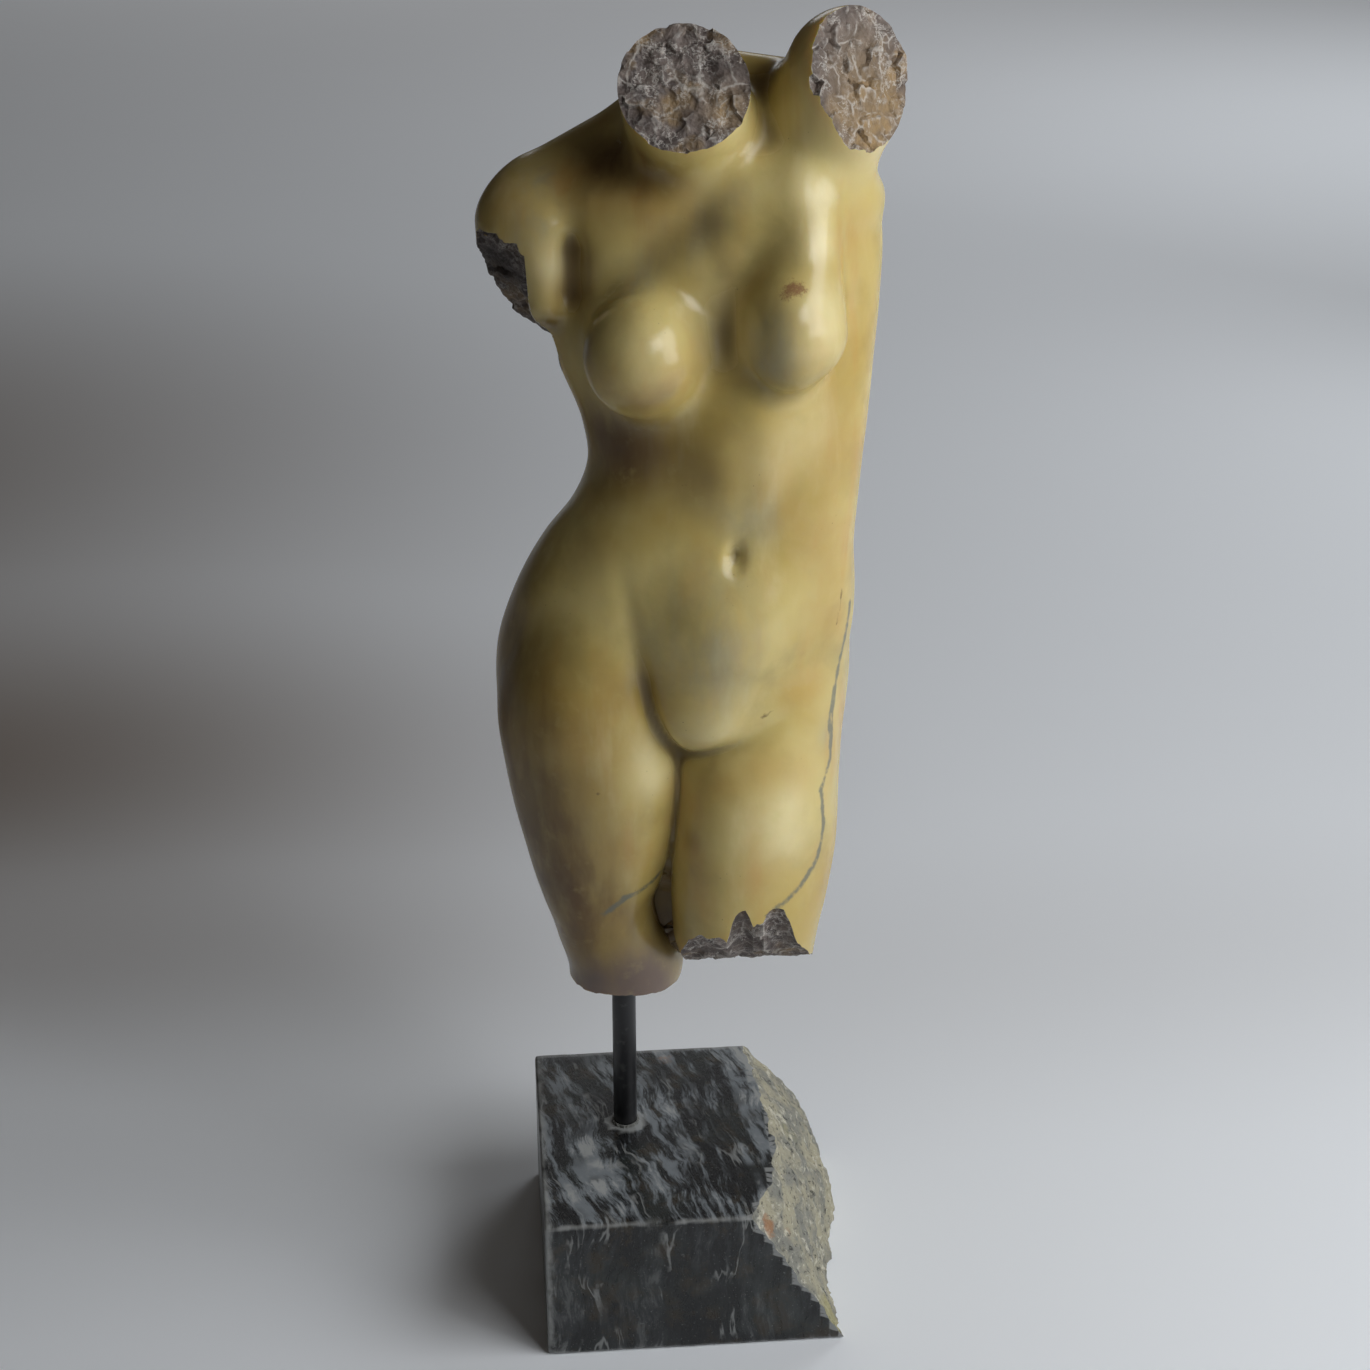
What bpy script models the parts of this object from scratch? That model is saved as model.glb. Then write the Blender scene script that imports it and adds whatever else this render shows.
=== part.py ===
"""A carved marble torso of Venus, held by a steel rod on a rough-ended stone block.

Metres, +Z up. The origin is the centre of the block's underside, X runs along the block's
front edge and the front faces -Y. The torso is modelled in a frame of its own, whose origin is
the foot of the rod on the block's top, and is then turned to its place.

The body is made as a carver would point it up: plain masses are blocked out with Blender's
primitives, remeshed into one skin, and the skin is settled onto the blended form that the same
masses describe. The old breaks are then cut with rough-faced cutters.
"""

import math

import bmesh
import bpy
import numpy as np
from mathutils import Euler, Matrix, Vector, noise

# ---------------------------------------------------------------- driving dimensions (metres)
PLINTH_LEFT = -0.078
PLINTH_LENGTH_AT_FOOT = 0.150
PLINTH_FRONT = -0.076
PLINTH_DEPTH = 0.152
PLINTH_HEIGHT = 0.077
PLINTH_EDGE = 0.0014

ROD_RADIUS = 0.006
ROD_PLACE = (-0.033, 0.011)
ROD_SINK_IN_PLINTH = 0.030
ROD_SINK_IN_THIGH = 0.060
ROD_SIDES = 32
CUTTER_SPARE = 0.03
CLEARANCE = 0.0003

TORSO_TURN = math.radians(-5.0)
KNEE_BREAK_HEIGHT = 0.092
THIGH_BREAK_HEIGHT = 0.107
THIGH_CLIMB_START = -0.007
THIGH_CLIMB_RUN = 0.042
THIGH_CLIMB = 0.036
THIGH_CLIMB_CURVE = 1.6
FLAKE_STEEPNESS = 3
FLAKE_SQUARENESS = 4
# Each flake off the left thigh's front: its middle and half width across, and how far it climbs.
THIGH_FLAKES = ((0.0590, 0.0056, 0.0110), (0.0785, 0.0080, 0.0085), (0.0690, 0.0130, 0.0060))
KNEE_RIM = (0.018, 0.027, 0.0020)  # where the knee's break starts to climb, its rim, and by how much

LOFT_SIDES = 32
BLOCK_VOXEL = 0.0050
BLOCK_ROUNDS = 6
SKIN_VOXEL = 0.0034
SKIN_ROUNDS = 4
SKIN_TRIANGLES = 6400
LONGEST_MOVE = 0.004
GENTLEST_SLOPE = 0.25
SHARP_EDGE = math.radians(40)

# The broken end of the block, from its front to its back: where its foot and its head come to.
BREAK_DEPTHS = np.array([0.0, 0.3, 0.45, 0.65, 1.0])
BREAK_FOOT = np.array([0.0715, 0.0690, 0.0720, 0.0800, 0.0770])
BREAK_HEAD = np.array([0.0250, 0.0400, 0.0420, 0.0400, 0.0360])
BREAK_BELLY = 0.010
BREAK_RELIEF = 0.0026
BREAK_GRAIN = 0.020
BREAK_CELLS = (18, 10)
# How far the cutter runs past the block, as shares of the block's depth and height.
BREAK_OVERRUN_ACROSS = 0.04
BREAK_OVERRUN_UP = 0.08

# Broken stone: the facets' size over their relief, the least size, and how much the finer ridges
# and crumbs add, each with how many times finer it is.
FACET_PER_RELIEF = 2.6
LEAST_FACET = 0.004
RIDGES, RIDGE_FINENESS = 0.6, 2.3
CRUMBS, CRUMB_FINENESS = 0.35, 4.7


# ---------------------------------------------------------------- forms
def flow(heights, values, z):
    """A smooth curve through the values at the given heights."""
    slopes = np.gradient(values, heights)
    z = np.clip(z, heights[0], heights[-1])
    i = np.clip(np.searchsorted(heights, z, side="right") - 1, 0, len(heights) - 2)
    step = heights[i + 1] - heights[i]
    t = (z - heights[i]) / step
    return (
        (1 + 2 * t) * (1 - t) ** 2 * values[i]
        + t * (1 - t) ** 2 * step * slopes[i]
        + t * t * (3 - 2 * t) * values[i + 1]
        + t * t * (t - 1) * step * slopes[i + 1]
    )


def melt(a, b, width):
    """Union of two forms with a soft joint of that width."""
    share = np.clip(0.5 + 0.5 * (b - a) / width, 0.0, 1.0)
    return b + (a - b) * share - width * share * (1.0 - share)


def turned(turn):
    """Rotation by the given degrees about X, then Y, then Z."""
    return np.array(Euler([math.radians(angle) for angle in turn]).to_matrix())


class Egg:
    """An ellipsoid mass."""

    def __init__(self, centre, radii, turn=(0.0, 0.0, 0.0)):
        self.centre, self.radii, self.turn = centre, np.array(radii), turn

    def distance(self, points):
        local = (points - np.array(self.centre)) @ turned(self.turn)
        near = np.linalg.norm(local / self.radii, axis=1)
        steep = np.linalg.norm(local / self.radii**2, axis=1)
        return near * (near - 1.0) / np.maximum(steep, 1e-9)

    def block(self):
        bpy.ops.mesh.primitive_ico_sphere_add(subdivisions=4, radius=1.0, location=self.centre)
        ball = bpy.context.object
        ball.rotation_euler = [math.radians(angle) for angle in self.turn]
        ball.scale = self.radii
        return ball


class Limb:
    """A round, tapering mass with rounded ends, between two centres."""

    def __init__(self, start, end, start_radius, end_radius):
        self.start, self.end = np.array(start), np.array(end)
        self.start_radius, self.end_radius = start_radius, end_radius

    def distance(self, points):
        axis = self.end - self.start
        local = points - self.start
        along = np.clip(local @ axis / (axis @ axis), 0.0, 1.0)
        radius = self.start_radius + (self.end_radius - self.start_radius) * along
        return np.linalg.norm(local - along[:, None] * axis, axis=1) - radius

    def block(self):
        shell = bmesh.new()
        for centre, radius in ((self.start, self.start_radius), (self.end, self.end_radius)):
            place = Matrix.Translation(centre) @ Matrix.Scale(radius, 4)
            bmesh.ops.create_icosphere(shell, subdivisions=3, radius=1.0, matrix=place)
        bmesh.ops.delete(shell, geom=shell.edges[:] + shell.faces[:], context="EDGES_FACES")
        hull = bmesh.ops.convex_hull(shell, input=shell.verts[:])
        bmesh.ops.delete(shell, geom=hull["geom_interior"], context="VERTS")
        return finished("block", shell)


class Loft:
    """A mass lofted through level sections, with soft ends.

    Each section is its height, its middle and half width across, then how far its front and its
    back stand from the rod's axis. A squareness of 2 gives ellipses, and more gives fuller corners.
    The lean moves a section's front to one side.
    """

    def __init__(self, sections, squareness, lean=0.0, end=0.012):
        self.sections, self.squareness = np.array(sections), squareness
        self.lean, self.end = lean, end

    def distance(self, points):
        z = points[:, 2]
        heights = self.sections[:, 0]
        middle, half, front, back = (flow(heights, self.sections[:, k], z) for k in (1, 2, 3, 4))
        x = points[:, 0] - middle - self.lean * points[:, 1]
        y = points[:, 1] - 0.5 * (front + back)
        power = self.squareness
        reach = (np.abs(x / half) ** power + np.abs(2 * y / (back - front)) ** power) ** (1 / power)
        side = np.hypot(x, y) * (1.0 - 1.0 / np.maximum(reach, 1e-6))
        over = np.maximum(heights[0] - z, z - heights[-1])
        rounded = np.hypot(np.maximum(side + self.end, 0.0), over) - self.end
        return np.where(over > 0.0, rounded, side)

    def block(self):
        shell = bmesh.new()
        rings = []
        for height, middle, half, front, back in self.sections:
            ring = []
            for step in range(LOFT_SIDES):
                angle = math.tau * step / LOFT_SIDES
                x, y = math.cos(angle), math.sin(angle)
                power = self.squareness
                reach = (abs(x) ** power + abs(y) ** power) ** (-1 / power)
                place = (
                    middle + half * reach * x,
                    0.5 * (front + back) + 0.5 * (back - front) * reach * y,
                    height,
                )
                ring.append(shell.verts.new(place))
            rings.append(ring)
        for low, high in zip(rings, rings[1:]):
            for k in range(LOFT_SIDES):
                after = (k + 1) % LOFT_SIDES
                shell.faces.new((low[k], low[after], high[after], high[k]))
        shell.faces.new(reversed(rings[0]))
        shell.faces.new(rings[-1])
        return finished("block", shell)


class Stroke:
    """A groove carved along a path, or a ridge raised along it where the depth is negative."""

    REACH = 2.6  # how many widths from its path it still shows
    RUN_OUT = 0.25  # the share of its length over which each end runs out
    END_DEPTH = 0.15  # the share of its depth left at the very end

    def __init__(self, path, width, depth):
        points = np.array(path)
        heights = np.arange(len(points), dtype=float)
        fine = np.linspace(0.0, heights[-1], 6 * (len(points) - 1) + 1)
        self.path = np.stack([flow(heights, points[:, k], fine) for k in range(3)], axis=1)
        self.width, self.depth = width, depth

    def cut(self, points):
        reach = self.REACH * self.width
        low, high = self.path.min(axis=0) - reach, self.path.max(axis=0) + reach
        near = ((points > low) & (points < high)).all(axis=1)
        cut = np.zeros(len(points))
        if not near.any():
            return cut
        local = points[near]
        closest = np.full(len(local), np.inf)
        place = np.zeros(len(local))
        pieces = len(self.path) - 1
        for k in range(pieces):
            start, axis = self.path[k], self.path[k + 1] - self.path[k]
            along = np.clip((local - start) @ axis / (axis @ axis), 0.0, 1.0)
            gap = np.linalg.norm(local - start - along[:, None] * axis, axis=1)
            better = gap < closest
            closest = np.where(better, gap, closest)
            place = np.where(better, (k + along) / pieces, place)
        ends = np.clip(np.minimum(place, 1.0 - place) / self.RUN_OUT, 0.0, 1.0)
        ends = self.END_DEPTH + (1.0 - self.END_DEPTH) * ends
        cut[near] = self.depth * np.exp(-((closest / self.width) ** 2)) * ends
        return cut


class Dent:
    """A round hollow, or a swelling where the depth is negative."""

    def __init__(self, centre, radii, depth):
        self.centre, self.radii, self.depth = np.array(centre), np.array(radii), depth

    def cut(self, points):
        return self.depth * np.exp(-(((points - self.centre) / self.radii) ** 2).sum(axis=1))


TRUNK = Loft(
    [
        # height  middle  half    front    back
        (0.222, 0.0230, 0.0640, -0.0240, 0.0300),
        (0.240, 0.0230, 0.0760, -0.0320, 0.0420),
        (0.262, 0.0255, 0.0807, -0.0380, 0.0490),
        (0.284, 0.0290, 0.0808, -0.0430, 0.0520),
        (0.302, 0.0315, 0.0787, -0.0450, 0.0510),
        (0.325, 0.0370, 0.0720, -0.0445, 0.0465),
        (0.344, 0.0445, 0.0655, -0.0430, 0.0420),
        (0.364, 0.0490, 0.0625, -0.0410, 0.0405),
        (0.383, 0.0488, 0.0645, -0.0400, 0.0425),
        (0.411, 0.0445, 0.0710, -0.0390, 0.0480),
        (0.440, 0.0425, 0.0752, -0.0360, 0.0540),
        (0.468, 0.0410, 0.0770, -0.0320, 0.0570),
        (0.492, 0.0445, 0.0685, -0.0270, 0.0550),
        (0.510, 0.0410, 0.0350, -0.0210, 0.0480),
    ],
    squareness=2.2,
)
RIGHT_THIGH = Loft(
    [
        (0.060, -0.0010, 0.0240, -0.0250, 0.0270),
        (0.085, 0.0004, 0.0271, -0.0280, 0.0290),
        (0.100, 0.0012, 0.0288, -0.0300, 0.0300),
        (0.118, -0.0036, 0.0287, -0.0340, 0.0320),
        (0.130, -0.0080, 0.0272, -0.0370, 0.0340),
        (0.142, -0.0110, 0.0280, -0.0400, 0.0360),
        (0.156, -0.0105, 0.0327, -0.0430, 0.0390),
        (0.172, -0.0095, 0.0375, -0.0460, 0.0420),
        (0.190, -0.0093, 0.0420, -0.0480, 0.0450),
        (0.212, -0.0100, 0.0452, -0.0500, 0.0480),
        (0.242, -0.0128, 0.0456, -0.0500, 0.0520),
        (0.265, -0.0110, 0.0440, -0.0475, 0.0520),
        (0.290, -0.0020, 0.0410, -0.0430, 0.0460),
        (0.330, 0.0140, 0.0300, -0.0300, 0.0300),
    ],
    squareness=2.3,
)
LEFT_THIGH = Loft(
    [
        (0.070, 0.0690, 0.0220, -0.0460, 0.0180),
        (0.095, 0.0680, 0.0265, -0.0490, 0.0210),
        (0.113, 0.0655, 0.0315, -0.0510, 0.0240),
        (0.126, 0.0640, 0.0350, -0.0530, 0.0270),
        (0.138, 0.0646, 0.0368, -0.0545, 0.0300),
        (0.150, 0.0653, 0.0380, -0.0555, 0.0320),
        (0.164, 0.0661, 0.0390, -0.0560, 0.0350),
        (0.203, 0.0665, 0.0390, -0.0540, 0.0430),
        (0.240, 0.0662, 0.0397, -0.0460, 0.0490),
        (0.262, 0.0660, 0.0400, -0.0410, 0.0500),
        (0.290, 0.0640, 0.0380, -0.0360, 0.0440),
        (0.325, 0.0600, 0.0320, -0.0280, 0.0300),
    ],
    squareness=2.1,
    lean=0.18,
)

# Each mass, and how softly it melts into what is above it in the list.
MASSES = (
    (TRUNK, 0.0),
    # belly and the mound below it
    (Egg((0.0445, -0.014, 0.292), (0.041, 0.042, 0.052), (0, 14, 0)), 0.012),
    (Egg((0.0390, -0.019, 0.2560), (0.0320, 0.034, 0.0290), (0, 14, 0)), 0.010),
    # the upper belly below the ribs
    (Egg((0.0575, -0.018, 0.386), (0.0290, 0.030, 0.046), (0, 6, 0)), 0.014),
    (RIGHT_THIGH, 0.004),
    (LEFT_THIGH, 0.005),
    # the web of stone left between the thighs
    (Limb((0.0285, 0.004, 0.238), (0.0240, 0.022, 0.130), 0.020, 0.015), 0.006),
    # buttocks
    (Egg((-0.013, 0.029, 0.260), (0.043, 0.042, 0.045)), 0.018),
    (Egg((0.065, 0.027, 0.252), (0.038, 0.041, 0.045)), 0.018),
    # breasts
    (Egg((0.0128, -0.036, 0.4240), (0.0258, 0.0310, 0.0280), (-12, 0, -8)), 0.012),
    (Egg((0.0600, -0.0060, 0.4800), (0.0420, 0.0300, 0.0360), (0, -12, 0)), 0.018),
    (Egg((0.0745, -0.0355, 0.4360), (0.0208, 0.0300, 0.0296), (-12, 0, 8)), 0.010),
    (Limb((0.0790, -0.0180, 0.4960), (0.0838, -0.0375, 0.4340), 0.0150, 0.0165), 0.010),
    # shoulders
    (Limb((0.016, 0.020, 0.507), (-0.0285, 0.014, 0.4800), 0.0185, 0.0214), 0.016),
    (Limb((0.045, 0.024, 0.5185), (0.0880, 0.014, 0.514), 0.024, 0.0245), 0.018),
    # arms and neck
    (Limb((-0.0362, 0.008, 0.4695), (-0.0400, 0.008, 0.4360), 0.0256, 0.0205), 0.010),
    (Limb((-0.0315, -0.0070, 0.4700), (-0.0285, -0.0100, 0.4410), 0.0115, 0.0110), 0.006),
    (Limb((0.0895, 0.0020, 0.4900), (0.0945, -0.0120, 0.5220), 0.0210, 0.0235), 0.012),
    (Limb((0.0910, 0.0020, 0.5200), (0.1008, -0.0165, 0.5390), 0.0258, 0.0286), 0.008),
    (Limb((0.0340, 0.014, 0.494), (0.0292, -0.048, 0.5535), 0.0255, 0.0285), 0.012),
)

STROKES = (
    # groins, from the hips down to the fork, and the fine line at the bottom of each
    Stroke([(0.0010, -0.0390, 0.3290), (0.0079, -0.0441, 0.2924), (0.0109, -0.0434, 0.2721),
            (0.0149, -0.0432, 0.2579), (0.0203, -0.0421, 0.2446), (0.0305, -0.0355, 0.2287)], 0.0050, 0.0022),
    Stroke([(0.0305, -0.0355, 0.2287), (0.0379, -0.0412, 0.2313), (0.0471, -0.0447, 0.2356),
            (0.0572, -0.0452, 0.2400), (0.0691, -0.0426, 0.2464), (0.0803, -0.0370, 0.2519)], 0.0050, 0.0022),
    Stroke([(0.0109, -0.0430, 0.2721), (0.0149, -0.0428, 0.2579), (0.0203, -0.0417, 0.2446),
            (0.0305, -0.0345, 0.2287)], 0.0026, 0.0034),
    Stroke([(0.0305, -0.0345, 0.2287), (0.0379, -0.0408, 0.2313), (0.0471, -0.0443, 0.2356),
            (0.0572, -0.0448, 0.2400)], 0.0026, 0.0034),
    # the midline of the belly
    Stroke([(0.055, -0.045, 0.398), (0.057, -0.047, 0.380), (0.058, -0.048, 0.362), (0.056, -0.052, 0.345)],
           0.0070, 0.0010),
    # the crease between the ribs and the belly
    Stroke([(0.084, -0.038, 0.372), (0.074, -0.043, 0.358), (0.062, -0.047, 0.348), (0.048, -0.046, 0.346)],
           0.0060, 0.0016),
    # under the breasts
    Stroke([(-0.017, -0.044, 0.416), (-0.011, -0.049, 0.402), (-0.001, -0.051, 0.395), (0.012, -0.051, 0.394),
            (0.024, -0.048, 0.400)], 0.0035, 0.0018),
    Stroke([(0.056, -0.046, 0.424), (0.064, -0.049, 0.413), (0.076, -0.050, 0.409), (0.090, -0.046, 0.416)],
           0.0035, 0.0014),
    # breastbone, collar bones and the hollow below the right one
    Stroke([(0.036, -0.031, 0.490), (0.042, -0.034, 0.465), (0.047, -0.038, 0.440), (0.050, -0.041, 0.415)],
           0.0070, 0.0012),
    Stroke([(0.052, -0.025, 0.500), (0.036, -0.032, 0.482), (0.016, -0.033, 0.467), (-0.004, -0.030, 0.453),
            (-0.014, -0.026, 0.440)], 0.0090, 0.0030),
    Stroke([(-0.024, -0.014, 0.486), (-0.006, -0.020, 0.487), (0.012, -0.024, 0.486), (0.028, -0.027, 0.487)],
           0.0065, -0.0026),
    # the edge of the chest muscle up to the raised arm, and the furrow behind it
    Stroke([(0.079, -0.030, 0.514), (0.080, -0.033, 0.492), (0.084, -0.042, 0.468), (0.087, -0.050, 0.446)],
           0.0080, -0.0014),
    Stroke([(0.103, -0.020, 0.490), (0.104, -0.026, 0.462), (0.103, -0.030, 0.434), (0.100, -0.034, 0.410)],
           0.0060, 0.0010),
    # the fold between the right arm and the chest
    Stroke([(-0.018, -0.014, 0.474), (-0.0175, -0.018, 0.455), (-0.020, -0.018, 0.435)], 0.0062, 0.0060),
    # back: spine, cleft and the folds under the buttocks
    Stroke([(0.034, 0.053, 0.495), (0.040, 0.057, 0.455), (0.046, 0.050, 0.405), (0.048, 0.042, 0.365),
            (0.041, 0.046, 0.330), (0.034, 0.052, 0.305)], 0.0085, 0.0032),
    Stroke([(0.031, 0.054, 0.300), (0.027, 0.060, 0.270), (0.025, 0.056, 0.240), (0.025, 0.046, 0.215)],
           0.0060, 0.0070),
    Stroke([(0.022, 0.050, 0.222), (0.002, 0.055, 0.217), (-0.022, 0.051, 0.219), (-0.042, 0.038, 0.228)],
           0.0060, 0.0030),
    Stroke([(0.028, 0.048, 0.214), (0.048, 0.052, 0.208), (0.070, 0.048, 0.210), (0.090, 0.036, 0.220)],
           0.0060, 0.0030),
    # shoulder blades
    Stroke([(0.022, 0.054, 0.425), (0.014, 0.057, 0.450), (-0.004, 0.054, 0.476)], 0.0120, -0.0035),
    Stroke([(0.066, 0.054, 0.428), (0.074, 0.057, 0.455), (0.082, 0.050, 0.488)], 0.0120, -0.0035),
)
DENTS = (
    # navel
    Dent((0.0534, -0.0540, 0.3330), (0.0036, 0.0120, 0.0054), 0.0120),
    # the two hollows above the buttocks
    Dent((0.014, 0.052, 0.318), (0.009, 0.012, 0.009), 0.0018),
    Dent((0.062, 0.050, 0.316), (0.009, 0.012, 0.009), 0.0018),
)


def body(points):
    """The whole torso as one blended form: negative inside the stone, zero on its skin."""
    form = MASSES[0][0].distance(points)
    for mass, softness in MASSES[1:]:
        form = melt(form, mass.distance(points), softness)
    for carving in STROKES + DENTS:
        form = form + carving.cut(points)
    return form


# ---------------------------------------------------------------- Blender helpers
def finished(name, shell):
    """A named object from a bmesh, with its faces turned outwards."""
    bmesh.ops.recalc_face_normals(shell, faces=shell.faces[:])
    mesh = bpy.data.meshes.new(name)
    shell.to_mesh(mesh)
    shell.free()
    thing = bpy.data.objects.new(name, mesh)
    bpy.context.collection.objects.link(thing)
    return thing


def pick(things):
    """Select only these, the first one active."""
    bpy.ops.object.select_all(action="DESELECT")
    for thing in things:
        thing.select_set(True)
    bpy.context.view_layer.objects.active = things[0]


def apply_modifiers(thing):
    pick([thing])
    for modifier in list(thing.modifiers):
        bpy.ops.object.modifier_apply(modifier=modifier.name)


def finish_with(thing, name, colour, roughness, metallic=0.0):
    """Give the object its name and its own material."""
    thing.name = name
    material = bpy.data.materials.new(name)
    material.use_nodes = True
    shader = material.node_tree.nodes["Principled BSDF"]
    shader.inputs["Base Color"].default_value = (*colour, 1.0)
    shader.inputs["Roughness"].default_value = roughness
    shader.inputs["Metallic"].default_value = metallic
    material.diffuse_color = (*colour, 1.0)
    thing.data.materials.clear()
    thing.data.materials.append(material)


def cut(thing, cutters):
    """Cut the thing with the cutters, one after the other, and clear the cutters away."""
    for cutter in cutters:
        boolean = thing.modifiers.new(cutter.name, "BOOLEAN")
        boolean.operation = "DIFFERENCE"
        boolean.solver = "EXACT"
        boolean.object = cutter
    apply_modifiers(thing)
    for cutter in cutters:
        bpy.data.objects.remove(cutter)


def voxel_skin(thing, voxel):
    """One closed skin around everything in the object."""
    remesh = thing.modifiers.new("Remesh", "REMESH")
    remesh.mode = "VOXEL"
    remesh.voxel_size = voxel
    apply_modifiers(thing)


def newton_step(points, probe=0.0004):
    """The move that takes each point onto the skin of the form."""
    here = body(points)
    slope = np.empty_like(points)
    for k in range(3):
        shift = np.zeros(3)
        shift[k] = probe
        slope[:, k] = (body(points + shift) - body(points - shift)) / (2 * probe)
    steep = np.maximum((slope**2).sum(axis=1), GENTLEST_SLOPE)
    move = (here / steep)[:, None] * slope
    length = np.linalg.norm(move, axis=1)
    return move * np.minimum(1.0, LONGEST_MOVE / np.maximum(length, 1e-9))[:, None]


def settle(thing, rounds):
    """Even out the vertices, then draw each one onto the blended form, over and over."""
    mesh = thing.data
    points = np.empty(len(mesh.vertices) * 3)
    mesh.vertices.foreach_get("co", points)
    points = points.reshape(-1, 3)
    edges = np.empty(len(mesh.edges) * 2, dtype=np.int64)
    mesh.edges.foreach_get("vertices", edges)
    edges = edges.reshape(-1, 2)
    ends = np.concatenate([edges[:, 0], edges[:, 1]])
    others = np.concatenate([edges[:, 1], edges[:, 0]])
    links = np.bincount(ends, minlength=len(points))
    for _ in range(rounds):
        for k in range(3):
            middle = np.bincount(ends, weights=points[others, k], minlength=len(points)) / links
            points[:, k] = 0.5 * (points[:, k] + middle)
        points -= newton_step(points)
    points -= newton_step(points)
    mesh.vertices.foreach_set("co", points.astype(np.float32).ravel())
    mesh.update()


def crumple(place, size):
    """Rough stone: ridges and pits of about the given size, between -1 and 1."""
    spot = place / size
    ridges = RIDGES * (abs(noise.noise(spot * RIDGE_FINENESS)) - 0.5)
    return noise.noise(spot) + ridges + CRUMBS * noise.noise(spot * CRUMB_FINENESS)


def rough_cutter(name, centre, facing, size, reach, cells, relief, climb=None):
    """A block that takes away everything in front of a rough plane.

    The plane goes through the centre and faces the way the stone is taken from. Size is its width
    and height, and climb can sink parts of it into the stone.
    """
    turn = Vector(facing).to_track_quat("Z", "Y").to_matrix().to_4x4()
    place = Matrix.Translation(centre) @ turn
    block = bmesh.new()
    across, up = cells
    low = []
    for j in range(up + 1):
        row = []
        for i in range(across + 1):
            u, v = i / across - 0.5, j / up - 0.5
            spot = Vector((u * size[0], v * size[1], 0.0))
            spot.z = relief * crumple(place @ spot, FACET_PER_RELIEF * relief + LEAST_FACET)
            if climb:
                spot.z -= climb(place @ spot)
            row.append(block.verts.new(place @ spot))
        low.append(row)
    for j in range(up):
        for i in range(across):
            block.faces.new((low[j][i], low[j][i + 1], low[j + 1][i + 1], low[j + 1][i]))
    push = place.to_3x3() @ Vector((0.0, 0.0, reach))
    sheet = bmesh.ops.extrude_face_region(block, geom=block.faces[:])
    raised = [item for item in sheet["geom"] if isinstance(item, bmesh.types.BMVert)]
    bmesh.ops.translate(block, verts=raised, vec=push)
    bmesh.ops.triangulate(block, faces=block.faces[:])
    return finished(name, block)


def post(name, radius, bottom, top, place=(0.0, 0.0)):
    """A round upright cylinder between two heights."""
    bpy.ops.mesh.primitive_cylinder_add(
        vertices=ROD_SIDES, radius=radius, depth=top - bottom, location=(*place, 0.5 * (bottom + top))
    )
    bpy.ops.object.transform_apply(location=True)
    cylinder = bpy.context.object
    cylinder.name = name
    return cylinder


# ---------------------------------------------------------------- sub-parts
def torso():
    """The marble: a skin drawn over the blended masses, cut at its old breaks and bored for the rod."""
    blocks = [mass.block() for mass, _ in MASSES]
    pick(blocks)
    bpy.ops.object.transform_apply(location=True, rotation=True, scale=True)
    bpy.ops.object.join()
    stone = bpy.context.object
    voxel_skin(stone, BLOCK_VOXEL)
    settle(stone, BLOCK_ROUNDS)
    voxel_skin(stone, SKIN_VOXEL)
    settle(stone, SKIN_ROUNDS)
    spare = stone.modifiers.new("Decimate", "DECIMATE")
    spare.ratio = SKIN_TRIANGLES / (2 * len(stone.data.polygons))
    spare.use_collapse_triangulate = True
    apply_modifiers(stone)
    cut(stone, [rough_cutter(*cutter) for cutter in BREAKS])
    socket_top = KNEE_BREAK_HEIGHT + ROD_SINK_IN_THIGH + CLEARANCE
    cut(stone, [post("socket", ROD_RADIUS + CLEARANCE, KNEE_BREAK_HEIGHT - CUTTER_SPARE, socket_top)])
    stone.data.transform(
        Matrix.Translation((*ROD_PLACE, PLINTH_HEIGHT)) @ Matrix.Rotation(TORSO_TURN, 4, "Z")
    )
    stone.data.shade_smooth()
    stone.data.set_sharp_from_angle(angle=SHARP_EDGE)
    finish_with(stone, "torso", (0.50, 0.37, 0.14), 0.30)
    return stone


def plinth():
    """The stone block: sawn and polished on four sides, broken off roughly on its right."""
    right = PLINTH_LEFT + PLINTH_LENGTH_AT_FOOT + CUTTER_SPARE
    middle_x = 0.5 * (PLINTH_LEFT + right)
    bpy.ops.mesh.primitive_cube_add(
        size=1.0, location=(middle_x, PLINTH_FRONT + 0.5 * PLINTH_DEPTH, 0.5 * PLINTH_HEIGHT)
    )
    block = bpy.context.object
    block.scale = (right - PLINTH_LEFT, PLINTH_DEPTH, PLINTH_HEIGHT)
    bpy.ops.object.transform_apply(location=True, rotation=True, scale=True)
    worn = block.modifiers.new("Worn edges", "BEVEL")
    worn.width = PLINTH_EDGE
    worn.segments = 2
    apply_modifiers(block)
    socket_floor = PLINTH_HEIGHT - ROD_SINK_IN_PLINTH - CLEARANCE
    socket_mouth = PLINTH_HEIGHT + CUTTER_SPARE
    socket = post("socket", ROD_RADIUS + CLEARANCE, socket_floor, socket_mouth, ROD_PLACE)
    cut(block, [plinth_break(), socket])
    finish_with(block, "plinth", (0.045, 0.052, 0.050), 0.30)
    return block


def beyond(share, overrun):
    """A share of a length, stretched to run past both its ends."""
    return share * (1.0 + 2.0 * overrun) - overrun


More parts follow.
